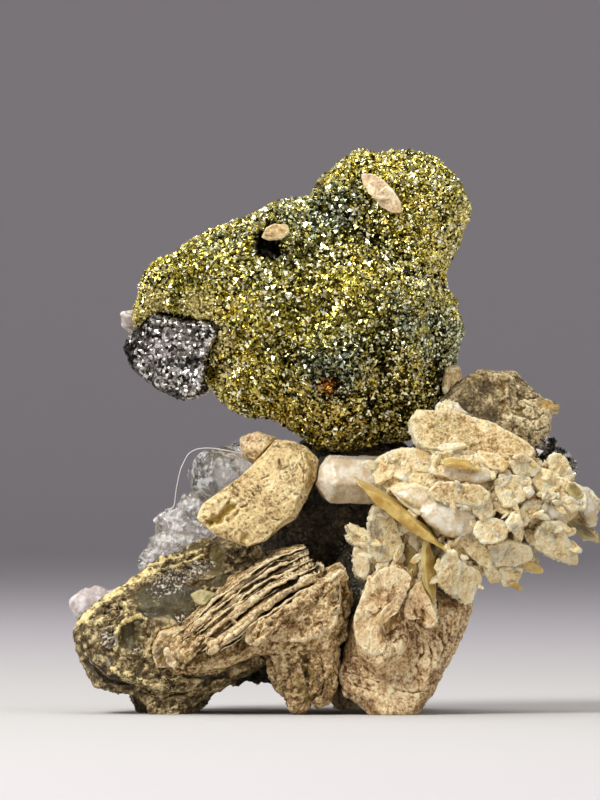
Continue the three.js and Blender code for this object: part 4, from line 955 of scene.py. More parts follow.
# The rosette: blades that grew through one another, with quartz among them
rosette = {
    "small": 80,         # splinters that fill the gaps
    "grainSpacing": 0.6,
    "grainSize": (0.12, 0.34),
    "bladeSkin": {"spread": 0, "broad": 0.03, "tilt": 0.2, "chip": 0.8, "grain": 0.06, "pits": 0.16,
                  "way": (0.6, 0, 0.5)},
    # rim, depth, thickness, lean to the right and up, paler or darker, milky share, specks
    "blades": [
        # along the top
        ([(8.7, 33.2), (8.7, 34.3), (9.6, 35.2), (11.4, 35.2), (14, 35), (16.6, 34.2), (18.6, 33.7),
          (20.4, 32.7),
          (22.4, 31.5), (23.3, 30.6), (23, 29.7), (19.6, 29.5), (12.4, 30.5), (10.4, 30.8), (9.4, 31.6)],
         -10.6, 1.6, (0.14, 0.57), -1.4, 0, 0.9),
        # the face at the upper left and the two under it
        ([(4.2, 28.9), (5.4, 30), (7.6, 31), (9.4, 30.9), (11.4, 29.9), (12.1, 29), (12, 27.2), (10.6, 26),
          (8.4, 26), (6.2, 26), (4.8, 27)], -11.3, 1.4, (-0.25, 0.3), 0, 0, 1),
        ([(6.4, 26.4), (9.6, 27), (12.4, 26), (12, 24.2), (10, 23.2), (8, 24.4)], -13.8, 1.2,
          (-0.35, 0.1), 1, 0.6),
        ([(9.4, 30.8), (12.6, 30.7), (13, 29.8), (11.8, 28.6), (10, 29.2)], -11.8, 0.9,
          (0.2, 0.4), -0.2, 0),
        # under the long blade
        ([(16.6, 30.6), (19, 30.3), (20.4, 29), (19.6, 28.2), (18, 28.6), (16.8, 29.6)],
         -13.2, 1.0, (0.1, 0.8), -0.3, 0),
        ([(20, 29.6), (22.6, 29.9), (24, 28.8), (23.2, 27.6), (20.8, 28)], -12.3, 1.0,
          (0.5, 0.2), 0.7, 0.6),
        # the dark-specked oval and what leans on it
        ([(10.8, 26.2), (11.6, 27.1), (13.2, 27.3), (15, 27), (16.8, 26.9), (18, 26), (17.9, 24.9),
          (16.6, 24.3),
          (14.8, 24.6), (13, 24.8), (11.4, 25.2)], -16.2, 1.1, (0.05, -0.1), -0.4, 0, 1),
        ([(15.6, 25), (17.6, 25.6), (18.4, 24.6), (18.2, 23.2), (17, 22.6), (16, 23.6)],
         -15.5, 0.9, (0.3, 0.1), 0.2, 0.4),
        # square blade
        ([(18.4, 27.3), (20.4, 28), (22.8, 27.6), (22.9, 26.2), (21.8, 25), (20.6, 24), (19.4, 24.3),
          (18.6, 25.6)],
         -13.6, 1.2, (0.35, 0.3), 0.8, 0),
        # right-hand blades
        ([(22.6, 27.2), (23.6, 28.4), (25.2, 27.8), (27.4, 27.2), (28.6, 26.6), (29.4, 25.2), (29.2, 23.9),
          (27.6, 23.6), (26, 24.4), (24.2, 25.4)], -11.3, 1.1, (0.35, 0.35), 0.3, 0),
        ([(24.9, 30.2), (26.2, 30.5), (27.3, 29.4), (27.9, 27.6), (26.6, 27), (25.2, 27.8), (24.8, 29)],
         -9.5, 1.1, (0.45, 0.2), 0.1, 0),
        ([(24, 24.6), (26.4, 24.9), (28.4, 23.6), (27.2, 22.4), (25, 22.8)], -10.4, 1.0,
          (0.5, 0.3), 0.5, 0.3),
        ([(22.9, 19.6), (23.1, 21.2), (24.2, 22.8), (26, 22.6), (27.2, 20.4), (28.3, 18.5), (28.1, 17.5),
          (26.6, 17.8), (25, 18.5)], -11.1, 1.3, (0.4, -0.2), 0.3, 0),
        # specked blade at the left, and pale leaves beside it
        ([(3.8, 22.4), (4.3, 24.2), (5.3, 24.8), (6.2, 24), (7, 22.5), (7.6, 21), (8, 19.5), (7.6, 18.7),
          (6.4, 17.9), (4.8, 17.8), (3.8, 18.8), (3.7, 20.6)], -13.2, 1.3, (0.25, -0.1), 0.4, 0, 0.8),
        ([(2.1, 19.6), (3.9, 19.7), (4.2, 17.4), (3.7, 15.8), (2.6, 15.9), (2.2, 17.6)],
         -11.4, 0.8, (0.1, 0.1), 0.9, 0.4),
        ([(1.3, 22.1), (2.4, 22), (4.4, 20.8), (4, 20.2), (2, 21.1)], -11.7, 0.8, (0, 0.4), 0.9, 0),
        # the round blade, the knob on it and the broad ones behind
        ([(15.9, 21.3), (16.5, 22.6), (17.8, 23.1), (19.4, 22.7), (20.2, 21.6), (19.8, 20.5), (18.6, 20),
          (16.8, 20)], -15, 1.4, (0.15, 0.1), 1, 0.1),
        ([(19.7, 22.4), (20.4, 23.5), (21.4, 23.4), (21.8, 22.2), (21.2, 21.4), (20.1, 21.5)],
         -15.2, 1.2, (0.4, 0.1), 0.9, 0),
        ([(13.4, 21.4), (15.4, 21.4), (17.2, 19.8), (18.6, 18.8), (18, 17), (16.8, 17.6), (15.2, 19)],
         -14.1, 1.0, (0.2, -0.2), -0.1, 0),
        ([(17.6, 19.8), (20, 20.6), (22.8, 19.8), (23, 18.4), (20.8, 17.4), (18.6, 17.6)],
         -13, 1.2, (0.35, -0.4), 0.4, 0.3),
        ([(17, 17.6), (18.2, 17.8), (19.4, 16.4), (19, 15.4), (18.1, 15.4), (17.4, 16.4)],
         -12.7, 0.8, (0.4, -0.3), -0.1, 0),
        ([(18.9, 17.2), (20.4, 17.6), (22, 17.2), (21.6, 16.1), (20.8, 15.2), (19.6, 15.1), (19, 16)],
         -11.8, 1.1, (0.2, -0.5), 0.3, 0),
        # hanging blades
        ([(12.1, 18), (12.9, 19.3), (14, 19.3), (14.7, 18), (14.4, 16), (14.2, 14.1), (13, 14.4),
          (12.1, 15.3),
          (11.9, 16.6)], -15, 1.2, (0.1, -0.3), 0.7, 0),
        ([(14.1, 18.4), (15.4, 17.6), (16.8, 16.9), (17, 15.8), (16.2, 14.8), (15.8, 13.3), (14.9, 13),
          (14, 14.4)],
         -13.9, 1.3, (0.45, -0.3), 0.4, 0),
        ([(13, 20.4), (14.4, 20.6), (15.8, 18.8), (14.8, 18.2), (13.4, 19)], -14, 0.8,
          (0.3, -0.4), -0.3, 0),
        # small ones that fill the gaps
        (splinter(8.8, 22.8, 3.6, 1.6, 64, 1), -13.7, 0.8, (-0.4, 0.1), 0.6, 0.5),
        (splinter(10.2, 20.9, 3.2, 1.4, -30, 2), -12.9, 0.8, (0.1, -0.4), 0.8, 0.7),
        (splinter(19.6, 24, 2.6, 1.2, -34, 3), -14.2, 0.7, (0.2, 0.6), 0, 0),
        (splinter(21.4, 20.9, 2.6, 1.3, 70, 4), -12.4, 0.8, (0.5, -0.1), 0.3, 0),
        (splinter(17.8, 28, 2.4, 0.9, -20, 5), -14.4, 0.7, (0, 0.7), -0.3, 0),
        (splinter(13.6, 31.2, 3.4, 0.8, 4, 6), -12.5, 0.6, (0, 0.9), 0.4, 0.7),
        (splinter(26, 21.4, 3.4, 1, 50, 7), -11.3, 0.7, (0.6, 0), -0.4, 0),
        (splinter(27.6, 25.4, 3, 1, -36, 8), -11, 0.7, (0.3, 0.8), -0.7, 0),
        (splinter(24.8, 26.4, 3.4, 0.8, -38, 9), -11.7, 0.6, (0.2, 0.9), 0.5, 0),
        (splinter(5.8, 27.6, 3, 0.9, 34, 10), -12.1, 0.6, (-0.4, 0.6), 0.4, 0),
        (splinter(20.3, 19.2, 2.4, 0.9, -28, 11), -13.2, 0.6, (0.1, -0.7), 0.6, 0.3),
        (splinter(7.4, 19, 2.6, 1, 66, 12), -13.2, 0.7, (0.5, -0.1), -0.2, 0),
    ],
    # x, z, length, width, turn, depth, thickness, lean right, lean up
    "honey": [
        (10.9, 16.6, 7.4, 1.3, 94, -14.6, 0.8, 0.9, -0.2),
        (21.1, 15.1, 1.7, 0.8, -30, -11.8, 0.6, 0.2, -0.3),
        (23, 17.3, 2.8, 1, -28, -11.2, 0.6, 0.3, -0.4),
        (3, 20.3, 2.6, 1, -38, -10.8, 0.7, 0.2, 0.4),
        (23, 23.8, 3.2, 1.8, 52, -12.4, 0.8, 0.4, 0.2),
        (22.4, 29.6, 3, 0.5, -34, -11.9, 0.5, 0.1, 0.9),
    ],
    "olive": [
        (28.6, 21.6, 4.6, 1.2, -36, -7.8, 0.8, 0.4, 0.4),
        (8.9, 18.2, 4.4, 1.7, 84, -12.3, 0.8, -0.4, 0),
        (24, 21.6, 2.8, 1.4, 66, -11.6, 0.6, 0.5, 0),
        (28, 26, 2.6, 1.2, -52, -11.1, 0.6, 0.4, 0.4),
        (11.9, 17.4, 3.4, 0.8, 92, -12.9, 0.5, 0.6, 0),
    ],
    # rim, depth, thickness, lean
    "quartz": [
        ([(12.4, 28.9), (15, 29.2), (18.2, 28.6), (18.4, 27.4), (16.4, 26.8), (13.4, 27.1)], -14.3, 2.4,
          (0, 0.3)),
        ([(9.8, 23.9), (11.2, 24.9), (13, 24.9), (15.6, 24.7), (16.8, 23.4), (16.4, 21.5), (14.6, 20.5),
          (12.6, 20.9),
          (10.6, 22.4)], -15, 2.6, (0.1, -0.1)),
        ([(6.8, 26), (9.2, 26.4), (11.4, 25.2), (11.2, 23.6), (9.8, 23.8), (7.8, 25)], -13.9, 1.8,
          (-0.4, 0)),
        ([(28.2, 26.8), (29.4, 26.3), (30.4, 24), (30.6, 22), (29.8, 21.8), (28.6, 23.8)], -7.8, 1.8,
          (0.5, 0.2)),
        ([(21.9, 26.6), (22.8, 26.7), (23.3, 25.8), (22.6, 25.1), (21.9, 25.7)], -13.6, 1.4, (0.3, 0.2)),
        ([(8.6, 22.4), (9.8, 21.8), (10.6, 19.9), (9.6, 19), (8.5, 20)], -12.9, 1.6, (0.1, 0)),
        ([(24.4, 24.7), (26.4, 24.4), (26.8, 23), (25.2, 22.6), (24.2, 23.4)], -11.2, 1.4, (0.3, 0.1)),
        ([(12.8, 34.8), (13.3, 36), (14.3, 36.5), (15, 35.6), (16.2, 34.9)], -7.4, 1, (0, 0.4)),
    ],
}


# How far forward a skin stands at a place, as seen from the front, or None beside it
def frontAt(points, x, z):
    close = points[np.hypot(points[:, 0] - x, points[:, 2] - z) < 0.4]
    return close[:, 1].min() if len(close) else None


# Small blades that stand out of the gaps between the large ones
def smallSplinters(points, count, seed):
    chance = np.random.default_rng(seed)
    # turn, length, lean right and up, tone and milky share
    least, most = (-80, 1.2, -0.6, -0.6, -0.6, -1.5), (80, 2.8, 0.8, 0.9, 1.2, 0.8)
    blades = []
    while len(blades) < count:
        x, z = chance.uniform(3.5, 29), chance.uniform(15, 31)
        turn, long, right, up, tone, milk = chance.uniform(least, most)
        depth = frontAt(points, x, z)
        if depth is None or depth > -8:
            continue
        rim = splinter(x, z, long, long * chance.uniform(0.3, 0.55), turn, len(blades))
        blades.append((rim, depth - 0.15, 0.45, (right, up), tone, max(milk, 0)))
    return blades


def makeRosette():
    body = fineSkin("calcite_rosette", 0.2, 1)
    makeCalcite(
        "calciteRosette", "calcite_rosette", bladeCalcite, seed=3, net=0.18, spread=-0.1, share=0.3, tone=1.2,
        blades=rosette["blades"] + smallSplinters(body.points, rosette["small"], 17),
        bladeSkin=rosette["bladeSkin"],
    )
    chance = np.random.default_rng(21)
    seats, outward = seatsOn(body, rosette["grainSpacing"], 21, lambda seats, outward: outward[:, 1] < 0.4)
    low, high = rosette["grainSize"]
    sizes = (low + (high - low) * chance.random(len(seats)) ** 2)[:, None]
    sizes = sizes * (0.7 + 0.6 * chance.random((len(seats), 3)))
    turns = turned(len(seats), chance)
    points, faces, marks = crystalsAt(bipyramid, seats - outward * 0.06, turns, sizes, chance)
    tint = marks["tint"]
    marks = {
        "tone": 4 * tint - 1,
        "milk": np.clip(tint * 3 - 2, 0, 1),
        "honey": np.clip(0.5 - tint * 2, 0, 1),
    }
    settle(meshObject("rosetteGrains", points, faces, marks, smooth=False), bladeCalcite, "calcite")
    for name, material in (("honey", honeyCalcite), ("olive", oliveCalcite)):
        blades = [
            (splinter(x, z, long, wide, turn, k), depth, thick, (right, up))
            for k, (x, z, long, wide, turn, depth, thick, right, up) in enumerate(rosette[name])
        ]
        makeCalcite(name + "Blades", None, material, "calcite_amber", 5, blades=blades, **honeySkin)


makeRosette()


# The thick slab that leans under the lump
slab = {
    "net": 0.14,
    "worn": 0,
    "share": 0.5,
    "way": (0.7, 0, 0.7),
    "tilt": 0.12,
    "grain": 0.04,
    "broad": 0.05,
    "spread": 0.05,
    "pits": 0.2,
    "speck": 1,
    "strokes": [
        ([(-14.8, 22.3), (-13.8, 22.9), (-12.8, 23.7), (-11.9, 24.5)], 0.55, -0.7, -1, 1),
        ([(-14.6, 22.3), (-13.4, 22.7)], 0.3, -0.25, -0.5, 0.9),
        ([(-13.3, 23.8), (-12.6, 24.6), (-12.2, 25.2)], 0.14, -0.2, -0.5, 0.7),
        ([(-13.1, 24.2), (-12.2, 24.6), (-11.2, 25.1)], 0.14, 0.16, 1.2, 0),
        ([(-15.5, 23.2), (-15.3, 22.4)], 0.2, 0.12, 1, 0),
        ([(-12.6, 22.7), (-11.9, 23.2), (-11.3, 23.8)], 0.3, -0.25, -1.5, 0.3),
        ([(-10.9, 24.2), (-10.2, 24.5)], 0.2, -0.2, -1.2, 0),
        ([(-13, 26.3), (-12, 26.8), (-11.3, 26.2)], 0.3, -0.16, -1.2, 0),
        ([(-12.2, 26.2), (-11.4, 25.6)], 0.22, -0.16, -1, 0),
        ([(-3.2, 30.2), (-2.7, 28.6), (-2.9, 26.6)], 0.35, -0.12, -1.2, 0.6),
        ([(-3.9, 30.6), (-3.5, 28.8), (-3.6, 27)], 0.12, -0.2, -1, 0.3),
        ([(-6.5, 29.7), (-6.3, 28.7), (-5.6, 28.9)], 0.22, -0.2, -1.2, 0),
        ([(-5.4, 29.6), (-5.1, 28.4), (-4.9, 27.7)], 0.16, -0.2, -1, 0),
        ([(-5.9, 28.3), (-5.3, 27.9)], 0.3, -0.12, -0.9, 0),
        ([(-4, 29.2), (-3.6, 28.4)], 0.14, -0.25, -1.6, 0),
        ([(-8.6, 27.5), (-7.7, 27.9)], 0.12, -0.25, -1.4, 0),
        ([(-8.2, 26.7), (-7.5, 26.8)], 0.12, -0.2, -1.2, 0),
        ([(-9.9, 27.6), (-9.4, 27.9)], 0.1, -0.2, -1.2, 0),
        ([(-9, 26.7), (-8.9, 26.4)], 0.1, -0.2, -1.2, 0),
        ([(-9.6, 25.8), (-9.4, 25.6)], 0.1, -0.2, -1.2, 0),
        ([(-7.2, 22.8), (-6.6, 22.7)], 0.16, -0.16, -0.9, 0),
        ([(-4.3, 23.2), (-3.9, 23.7)], 0.14, 0.14, 1.2, 0),
        ([(-4.5, 23.1), (-4.2, 23.8)], 0.08, -0.2, -1, 0.4),
        ([(-10.8, 20.1), (-10.3, 20.9)], 0.35, -0.1, -0.6, 0.7),
    ],
    # where its face turns away at its right and at its foot
    "cuts": [
        ((-3.9, -9.2, 28), (0.8, -0.6, 0.05)),
        ((-7, -10.0, 24.6), (0.12, -1, 0.08)),
        ((-15.2, -10.2, 24.5), (-0.7, -0.7, 0.25)),
        ((-9, -8.6, 29.6), (-0.45, -0.6, 0.65)),
    ],
}
makeCalcite("calciteLeaningSlab", "calcite_leaning_slab", slabCalcite, seed=5, **slab)
slabLump = {"speck": 0.4, "tilt": 0.5, "grain": 0.14, "pits": 0.3, "chip": 0.8, "tone": 0.5}
makeCalcite("calciteSlabLump", "calcite_slab_lump", tanCalcite, seed=7, **slabLump)


# The plate behind, and the small blade at the lump's edge
backPlate = {
    "worn": 0,
    "way": (1, 0, -0.3),
    "tilt": 0.28,
    "speck": 0.8,
    "strokes": [
        ([(15.2, 36.2), (16.6, 36.8), (18.2, 38), (19.4, 38.6)], 0.9, -0.15, -1.7, 0),
        ([(15.4, 35.4), (17, 34.8), (18.6, 35.2), (19.2, 34.4)], 0.6, -0.2, -2.4, 0),
        ([(16.2, 39.2), (18, 39.4), (20.6, 39.4)], 0.4, 0.2, 0.9, 0.2),
        ([(19.8, 39), (20, 37), (19.8, 35.4)], 0.3, -0.2, -1, 0.3),
        ([(21.2, 37.6), (22.6, 36.8), (23.8, 37)], 0.16, -0.2, -1.4, 0),
        ([(20.6, 35.8), (21.6, 35.4), (22.4, 35.8)], 0.2, -0.25, -1.3, 0.4),
        ([(21.4, 38), (22.2, 36.4), (23.4, 35.8)], 0.16, -0.15, -1.2, 0),
        ([(21.2, 35), (22.4, 34.2), (24, 34.6), (24.6, 35.2)], 0.15, -0.2, -1.3, 0),
        ([(23, 33), (24.2, 33.2), (25, 33.8)], 0.2, -0.2, -1.2, 0),
        ([(24.6, 36), (26, 36)], 0.5, 0.1, 0, 0.5),
        ([(20.6, 34.6), (22.4, 33.4), (24.4, 34)], 0.5, 0.2, 0.9, 0),
    ],
}
makeCalcite("calciteBackPlate", "calcite_back_plate", plateCalcite, seed=9, **backPlate)
makeCalcite("calciteEdgeBlade", "calcite_edge_blade", bladeCalcite, seed=11)


# The right foot, with the rounded blades that lie on it
foot = {
    "net": 0.14,
    "worn": 0,
    "share": 0.5,
    "way": (-0.35, 0.2, 1),
    "tilt": 0.34,
    "grain": 0.12,
    "long": 2.2,
    "chip": 0.8,
    "speck": 0.6,
    "tone": 0.5,
    "blades": [
        ([(5.2, 16.9), (6.6, 17.5), (8.1, 17), (8.9, 16), (8.5, 14.8), (7.6, 13.2), (6.6, 12.2),
          (5.6, 11.2), (5.4, 9.9),
          (6, 8.7), (5.6, 7.4), (4.6, 6.8), (3.8, 7.2), (3, 7.8), (2.2, 9.2), (2.1, 11), (2.9, 13.4),
          (3.9, 15.6)],
         -14.9, 1.5, (0.1, 0.03), 1.4, 0, 0.5),
        ([(8.3, 15.2), (8.2, 13.6), (7.5, 12.3), (6.4, 11.3), (5.1, 10.3), (4.7, 10.9), (5.4, 12),
          (6.4, 13.1), (7.1, 14.6)],
         -15.6, 1, (0.12, 0.1), 1.6, 0, 0.4),
        ([(9, 15), (9.9, 15.5), (10.5, 14.4), (11.3, 12.8), (12, 11.2), (11.6, 10.3), (10.5, 10),
          (9.8, 11.2),
          (8.8, 11), (8, 11.2), (8, 12.9)], -14.5, 1.1, (0.15, 0.12), 0.6, 0, 0.8),
    ],
    "bladeSkin": {"spread": 0, "broad": 0.14, "tilt": 0.24, "grain": 0.06, "pits": 0.2, "calm": 0.7},
    "strokes": [
        ([(4.3, 13), (4.9, 12.3)], 0.28, 0.16, 0.8, 0),
        ([(4, 12.1), (4.6, 11.7), (5.3, 12.4)], 0.12, -0.25, -1.4, 0),
        ([(5.6, 14.7), (5.9, 14.4)], 0.16, -0.2, -1.2, 0),
        ([(6.8, 15), (7.2, 14.4), (6.9, 14)], 0.12, -0.2, -1.2, 0),
        ([(4.5, 14), (4.9, 13.6)], 0.2, -0.16, -0.8, 0.2),
        ([(6.9, 11.4), (6.2, 10.4), (6, 9.4)], 0.7, -0.35, -0.3, 0.35),
        ([(6, 9.4), (7.3, 10.3)], 0.2, -0.35, -2, 0),
        ([(6.9, 8.5), (8, 9.4)], 0.2, -0.3, -2, 0),
        ([(5.4, 8.5), (6.4, 8.9)], 0.18, -0.25, -1.4, 0),
        ([(8.3, 10.9), (8.8, 9.4)], 0.2, -0.25, -1.2, 0),
        ([(9.2, 12.4), (9.6, 11.4), (10.2, 11.2)], 0.16, -0.25, -1.4, 0),
        ([(10.2, 12.3), (10.4, 11.4), (10.1, 10.6)], 0.2, -0.16, -1.2, 0.3),
        ([(11, 11.9), (11.7, 11.1)], 0.2, 0.16, 1.4, 0),
        ([(9.4, 11), (10.4, 10.2)], 0.14, -0.2, -1, 0.3),
        ([(10.2, 7), (9.4, 5.8), (10.2, 4.6)], 0.26, -0.35, -1.8, 0),
        ([(10.8, 8.4), (11.6, 6.4)], 0.2, -0.25, -1.4, 0),
        ([(12.2, 9.4), (12.8, 7.6), (12, 6)], 0.2, -0.3, -1.4, 0),
        ([(13.4, 9.6), (13, 8)], 0.18, -0.2, -1, 0),
        ([(13.5, 8.6), (13.7, 8.4)], 0.2, -0.2, -1.6, 0),
        ([(10.8, 6.4), (10.5, 5.6)], 0.25, 0.12, 1.3, 0),
        ([(12.9, 9.8), (13.3, 8.8)], 0.16, 0.1, 1, 0),
        ([(7.4, 4.6), (8.8, 4.2)], 0.16, -0.25, -1.4, 0),
        ([(7, 3), (9, 2.6), (10.8, 2.8)], 0.2, -0.25, -1.4, 0),
        ([(6.4, 2.6), (6.9, 4.2)], 0.3, 0.1, 1, 0),
        ([(1.2, 8.4), (1.6, 6), (1.4, 3)], 1.4, 0, -1.4, 0),
        ([(4.2, 1.2), (7, 0.6), (10, 1.2)], 0.9, 0, -1.3, 0),
        ([(1.4, 6.2), (3, 5.8), (4.6, 4.8)], 0.14, -0.2, -1.2, 0),
        ([(1.2, 5), (3, 4.6), (5.2, 3.8)], 0.14, -0.2, -1.2, 0),
        ([(1.2, 3.8), (3, 3.3), (5, 2.6)], 0.14, -0.2, -1.4, 0),
    ],
}
makeCalcite("calciteFootPlate", "calcite_foot_plate", tanCalcite, seed=13, **foot)
makeCalcite("calciteBackBlades", "calcite_back_blades", tanCalcite, seed=17, net=0.25, tilt=0.4, share=0.45)


# A flake in two parts on the upper lobe and one over the pit, in place of their plain solids
flakes = {
    "skin": {"spread": 0, "broad": 0.04, "tilt": 0.08, "grain": 0.02, "pits": 0.05, "chip": 0.6},
    "upper": [
        ([(3.1, 63.3), (4.4, 63.3), (5.7, 62.5), (6.8, 61.3), (6.5, 60.2), (5.2, 60.1), (4, 60.9),
          (3.3, 62)],
         -6.3, 0.45, (-0.2, 0.5), -0.4, 0),
        ([(4.4, 60.6), (6, 61.8), (7.1, 61), (7.8, 59.8), (8, 58.6), (6.8, 58.6), (5.4, 59.4)],
         -7.1, 0.4, (-0.5, -0.3), 1, 0),
    ],
    "pit": [
        ([(-8.5, 55.7), (-8, 56.8), (-7.2, 57.3), (-5.6, 57.2), (-5.2, 56.4), (-5.9, 55.6),
          (-6.8, 55.3), (-7.8, 55.4)],
         -6.5, 0.6, (0.1, 0.35), -1.2, 0),
    ],
}


def makeFlake(name, node, material, seed, blades):
    cluster = bladeCluster(name, blades, (), {**calcite, **flakes["skin"]}, seed)
    settle(cluster, material, "calcite", node)


makeFlake("calciteUpperFlake", "calcite_upper_flake", pinkCalcite, 19, flakes["upper"])
makeFlake("calcitePitFlake", "calcite_pit_flake", slabCalcite, 21, flakes["pit"])
amber = {**honeySkin, "slot": "calcite_amber", "net": 0.09, "share": 0.3}
makeCalcite("calciteAmberBlade", "calcite_amber_blade", honeyCalcite, seed=23, **{**amber, "spread": -0.16})
makeCalcite("calciteAmberSliver", "calcite_amber_sliver", honeyCalcite, seed=25, **{**amber, "spread": -0.2})
makeCalcite("calciteYellowFlake", "calcite_yellow_flake", yellowCalcite, seed=27, **amber)
# The stack of thin leaves that fans up to the right over the rough face and its ribs
leaves = {
    "thick": (0.28, 0.17),   # of a leaf, and of the thin one that runs beside it
    "back": 2.5,             # how far each leaf runs in, in millimetres
    "spacing": 0.16,         # between places along a leaf
    # line of the front edge as seen from the front, and its depth at both ends
    "lines": [
        ([(-19.2, 8.6), (-15.6, 12), (-11.4, 15.4), (-7.6, 17.9), (-3.4, 19.6)], -13.6, -13),
        ([(-18.8, 7.9), (-15, 11.4), (-11, 14.5), (-7.4, 16.9), (-3, 18.8)], -14, -13.4),
        ([(-18.3, 7.3), (-14.6, 10.6), (-11, 13.6), (-7.2, 16), (-2.6, 18.1)], -14.4, -13.8),
        ([(-17.4, 7), (-14, 9.9), (-10.6, 12.7), (-6.8, 15.1), (-1.8, 17.6)], -14.8, -14.2),
        ([(-15.6, 7.4), (-12.4, 9.6), (-9.8, 11.9), (-6.2, 14.2), (-1, 17)], -15.1, -14.6),
        ([(-13.6, 7.8), (-10.6, 9.6), (-8, 11.7), (-4.4, 13.9), (0.6, 16.9)], -15.4, -14.9),
        ([(-9.6, 9), (-6.6, 11.2), (-3.2, 13.4), (0.9, 16.1)], -15.4, -15),
    ],
    "rough": {"broad": 0.12, "tilt": 0.4, "chip": 0.8, "long": 2.6, "way": (0.77, 0, 0.64), "grain": 0.14,
              "speck": 0.6},
    "bladeSkin": {"spread": 0, "broad": 0.1, "tilt": 0.24, "grain": 0.1, "pits": 0.16, "chip": 0.9},
    "ragged": {"spread": 0, "broad": 0.06, "tilt": 0.3, "grain": 0.06, "pits": 0.2, "chip": 0.5, "long": 1},
    # rim of the sunk face that the leaves stand on
    "gap": [(-17, 9.6), (-12, 14.4), (-6.4, 18.6), (-3, 19.4), (0.8, 17.2), (-3, 14.2), (-7.6, 11.2),
            (-10, 10.4), (-14, 8.4)],
    "blades": [
        # the rounded tip with its pale core
        ([(-21.2, 7), (-20.9, 8.4), (-20, 9.5), (-18.8, 9.7), (-17.6, 9.4), (-18, 8), (-18.6, 6.4),
          (-19.4, 5.5), (-20.7, 5.6)],
         -12.6, 1.1, (-0.25, 0.15), -0.6, 0.1),
        ([(-19.9, 7.6), (-19.4, 7.9), (-18.9, 7), (-18.4, 6.2), (-18.8, 5.6), (-19.7, 6)], -13.4, 0.8,
          (0.1, 0.1), 1.4, 0.2),
        # broad facet under the last ridge, and a smaller one to its left
        ([(-8, 9.8), (-6.6, 11.6), (-4.4, 13.2), (-2.4, 14.6), (-0.2, 16.2), (0.8, 16.6), (0.7, 13.4),
          (0.2, 10.6), (-1.6, 9.2),
          (-4.6, 8.6), (-7.2, 8.6)], -14.9, 1.3, (-0.12, 0.05), 0.3, 0, 1),
        ([(-10.4, 8.6), (-10.2, 10.2), (-9, 11.2), (-7.8, 10.6), (-8.2, 9), (-9.4, 8)], -14.8, 1,
          (-0.3, 0.1), 0.5, 0, 0.6),
    ],
    "strokes": [
        ([(-20.5, 8.1), (-19.7, 9), (-19, 9.1)], 0.2, -0.15, -0.6, 0.7),
        ([(-20.5, 7.2), (-20, 6.5)], 0.25, -0.2, -0.6, 0.8),
        ([(-18, 7), (-16.8, 6.2), (-15.4, 6.4)], 0.6, 0, 0.4, 0.45),
        ([(-15.6, 8.6), (-14, 9.6), (-12.8, 10.2)], 0.3, -0.3, -1.6, 0),
        ([(-16.2, 7.4), (-14.8, 8.2)], 0.24, -0.3, -1.4, 0),
        ([(-13.4, 8.2), (-12.8, 9.4), (-12.6, 10.2)], 0.22, -0.3, -1.6, 0),
        ([(-13, 7.6), (-11.6, 9.2)], 0.2, -0.3, -1.3, 0),
        ([(-11.4, 8), (-10.8, 9.6)], 0.24, -0.3, -1.3, 0.3),
        ([(-9.6, 8), (-8.9, 9.4), (-8.4, 10.4)], 0.25, -0.35, -1.5, 0.3),
        ([(-12, 6.4), (-10, 7)], 0.4, 0.1, 1.2, 0),
        ([(-2.4, 14.6), (-2, 13.6), (-2.2, 13)], 0.18, -0.3, -1.7, 0),
        ([(-1.4, 14.8), (-1.2, 13.8)], 0.14, -0.25, -1.5, 0),
        ([(-4.4, 12.6), (-3.6, 12.8)], 0.14, -0.2, -1.2, 0),
        ([(-3.4, 11.2), (-2.6, 10.4), (-1.8, 10.8)], 0.2, -0.2, -1.3, 0),
        ([(-4.2, 7.2), (-3.7, 6), (-3.4, 4.8)], 0.4, -0.5, -1.4, 0.2),
        ([(-3.4, 6.8), (-2.8, 5.8)], 0.3, -0.3, -1.2, 0),
        ([(-4.3, 4), (-4, 2.8), (-3.2, 2)], 0.5, -0.1, 0, 0.6),
        ([(-3, 5.4), (-2.6, 4.2)], 0.3, -0.1, 0, 0.7),
        ([(-8.6, 6.4), (-8, 7.2), (-7.4, 6.4)], 0.4, -0.3, -1.6, 0),
        ([(-1.6, 6.6), (-1.2, 4), (-1.6, 2.2)], 0.18, -0.3, -1.5, 0),
        ([(-0.4, 4.6), (-0.2, 3)], 0.2, -0.25, -1.3, 0),
        ([(-2.4, 2.2), (-1.6, 2.6)], 0.3, -0.3, -1.5, 0),
        ([(-6.2, 7.4), (-5.6, 5.4), (-5.2, 3.4)], 0.35, 0.12, 1.1, 0),
        ([(0.4, 7), (0.6, 5), (0.3, 3.2)], 0.25, 0.1, 1, 0),
        ([(0.6, 14.6), (0.9, 12), (0.9, 9)], 0.7, -0.5, -2, 0.25),
        ([(-19.6, 4.8), (-16, 4.9), (-12, 5.4), (-8.4, 6)], 0.3, -0.1, -1.2, 0),
        ([(-19, 5.2), (-15, 5.6), (-11, 6.6)], 0.16, -0.25, -1.3, 0),
    ],
}


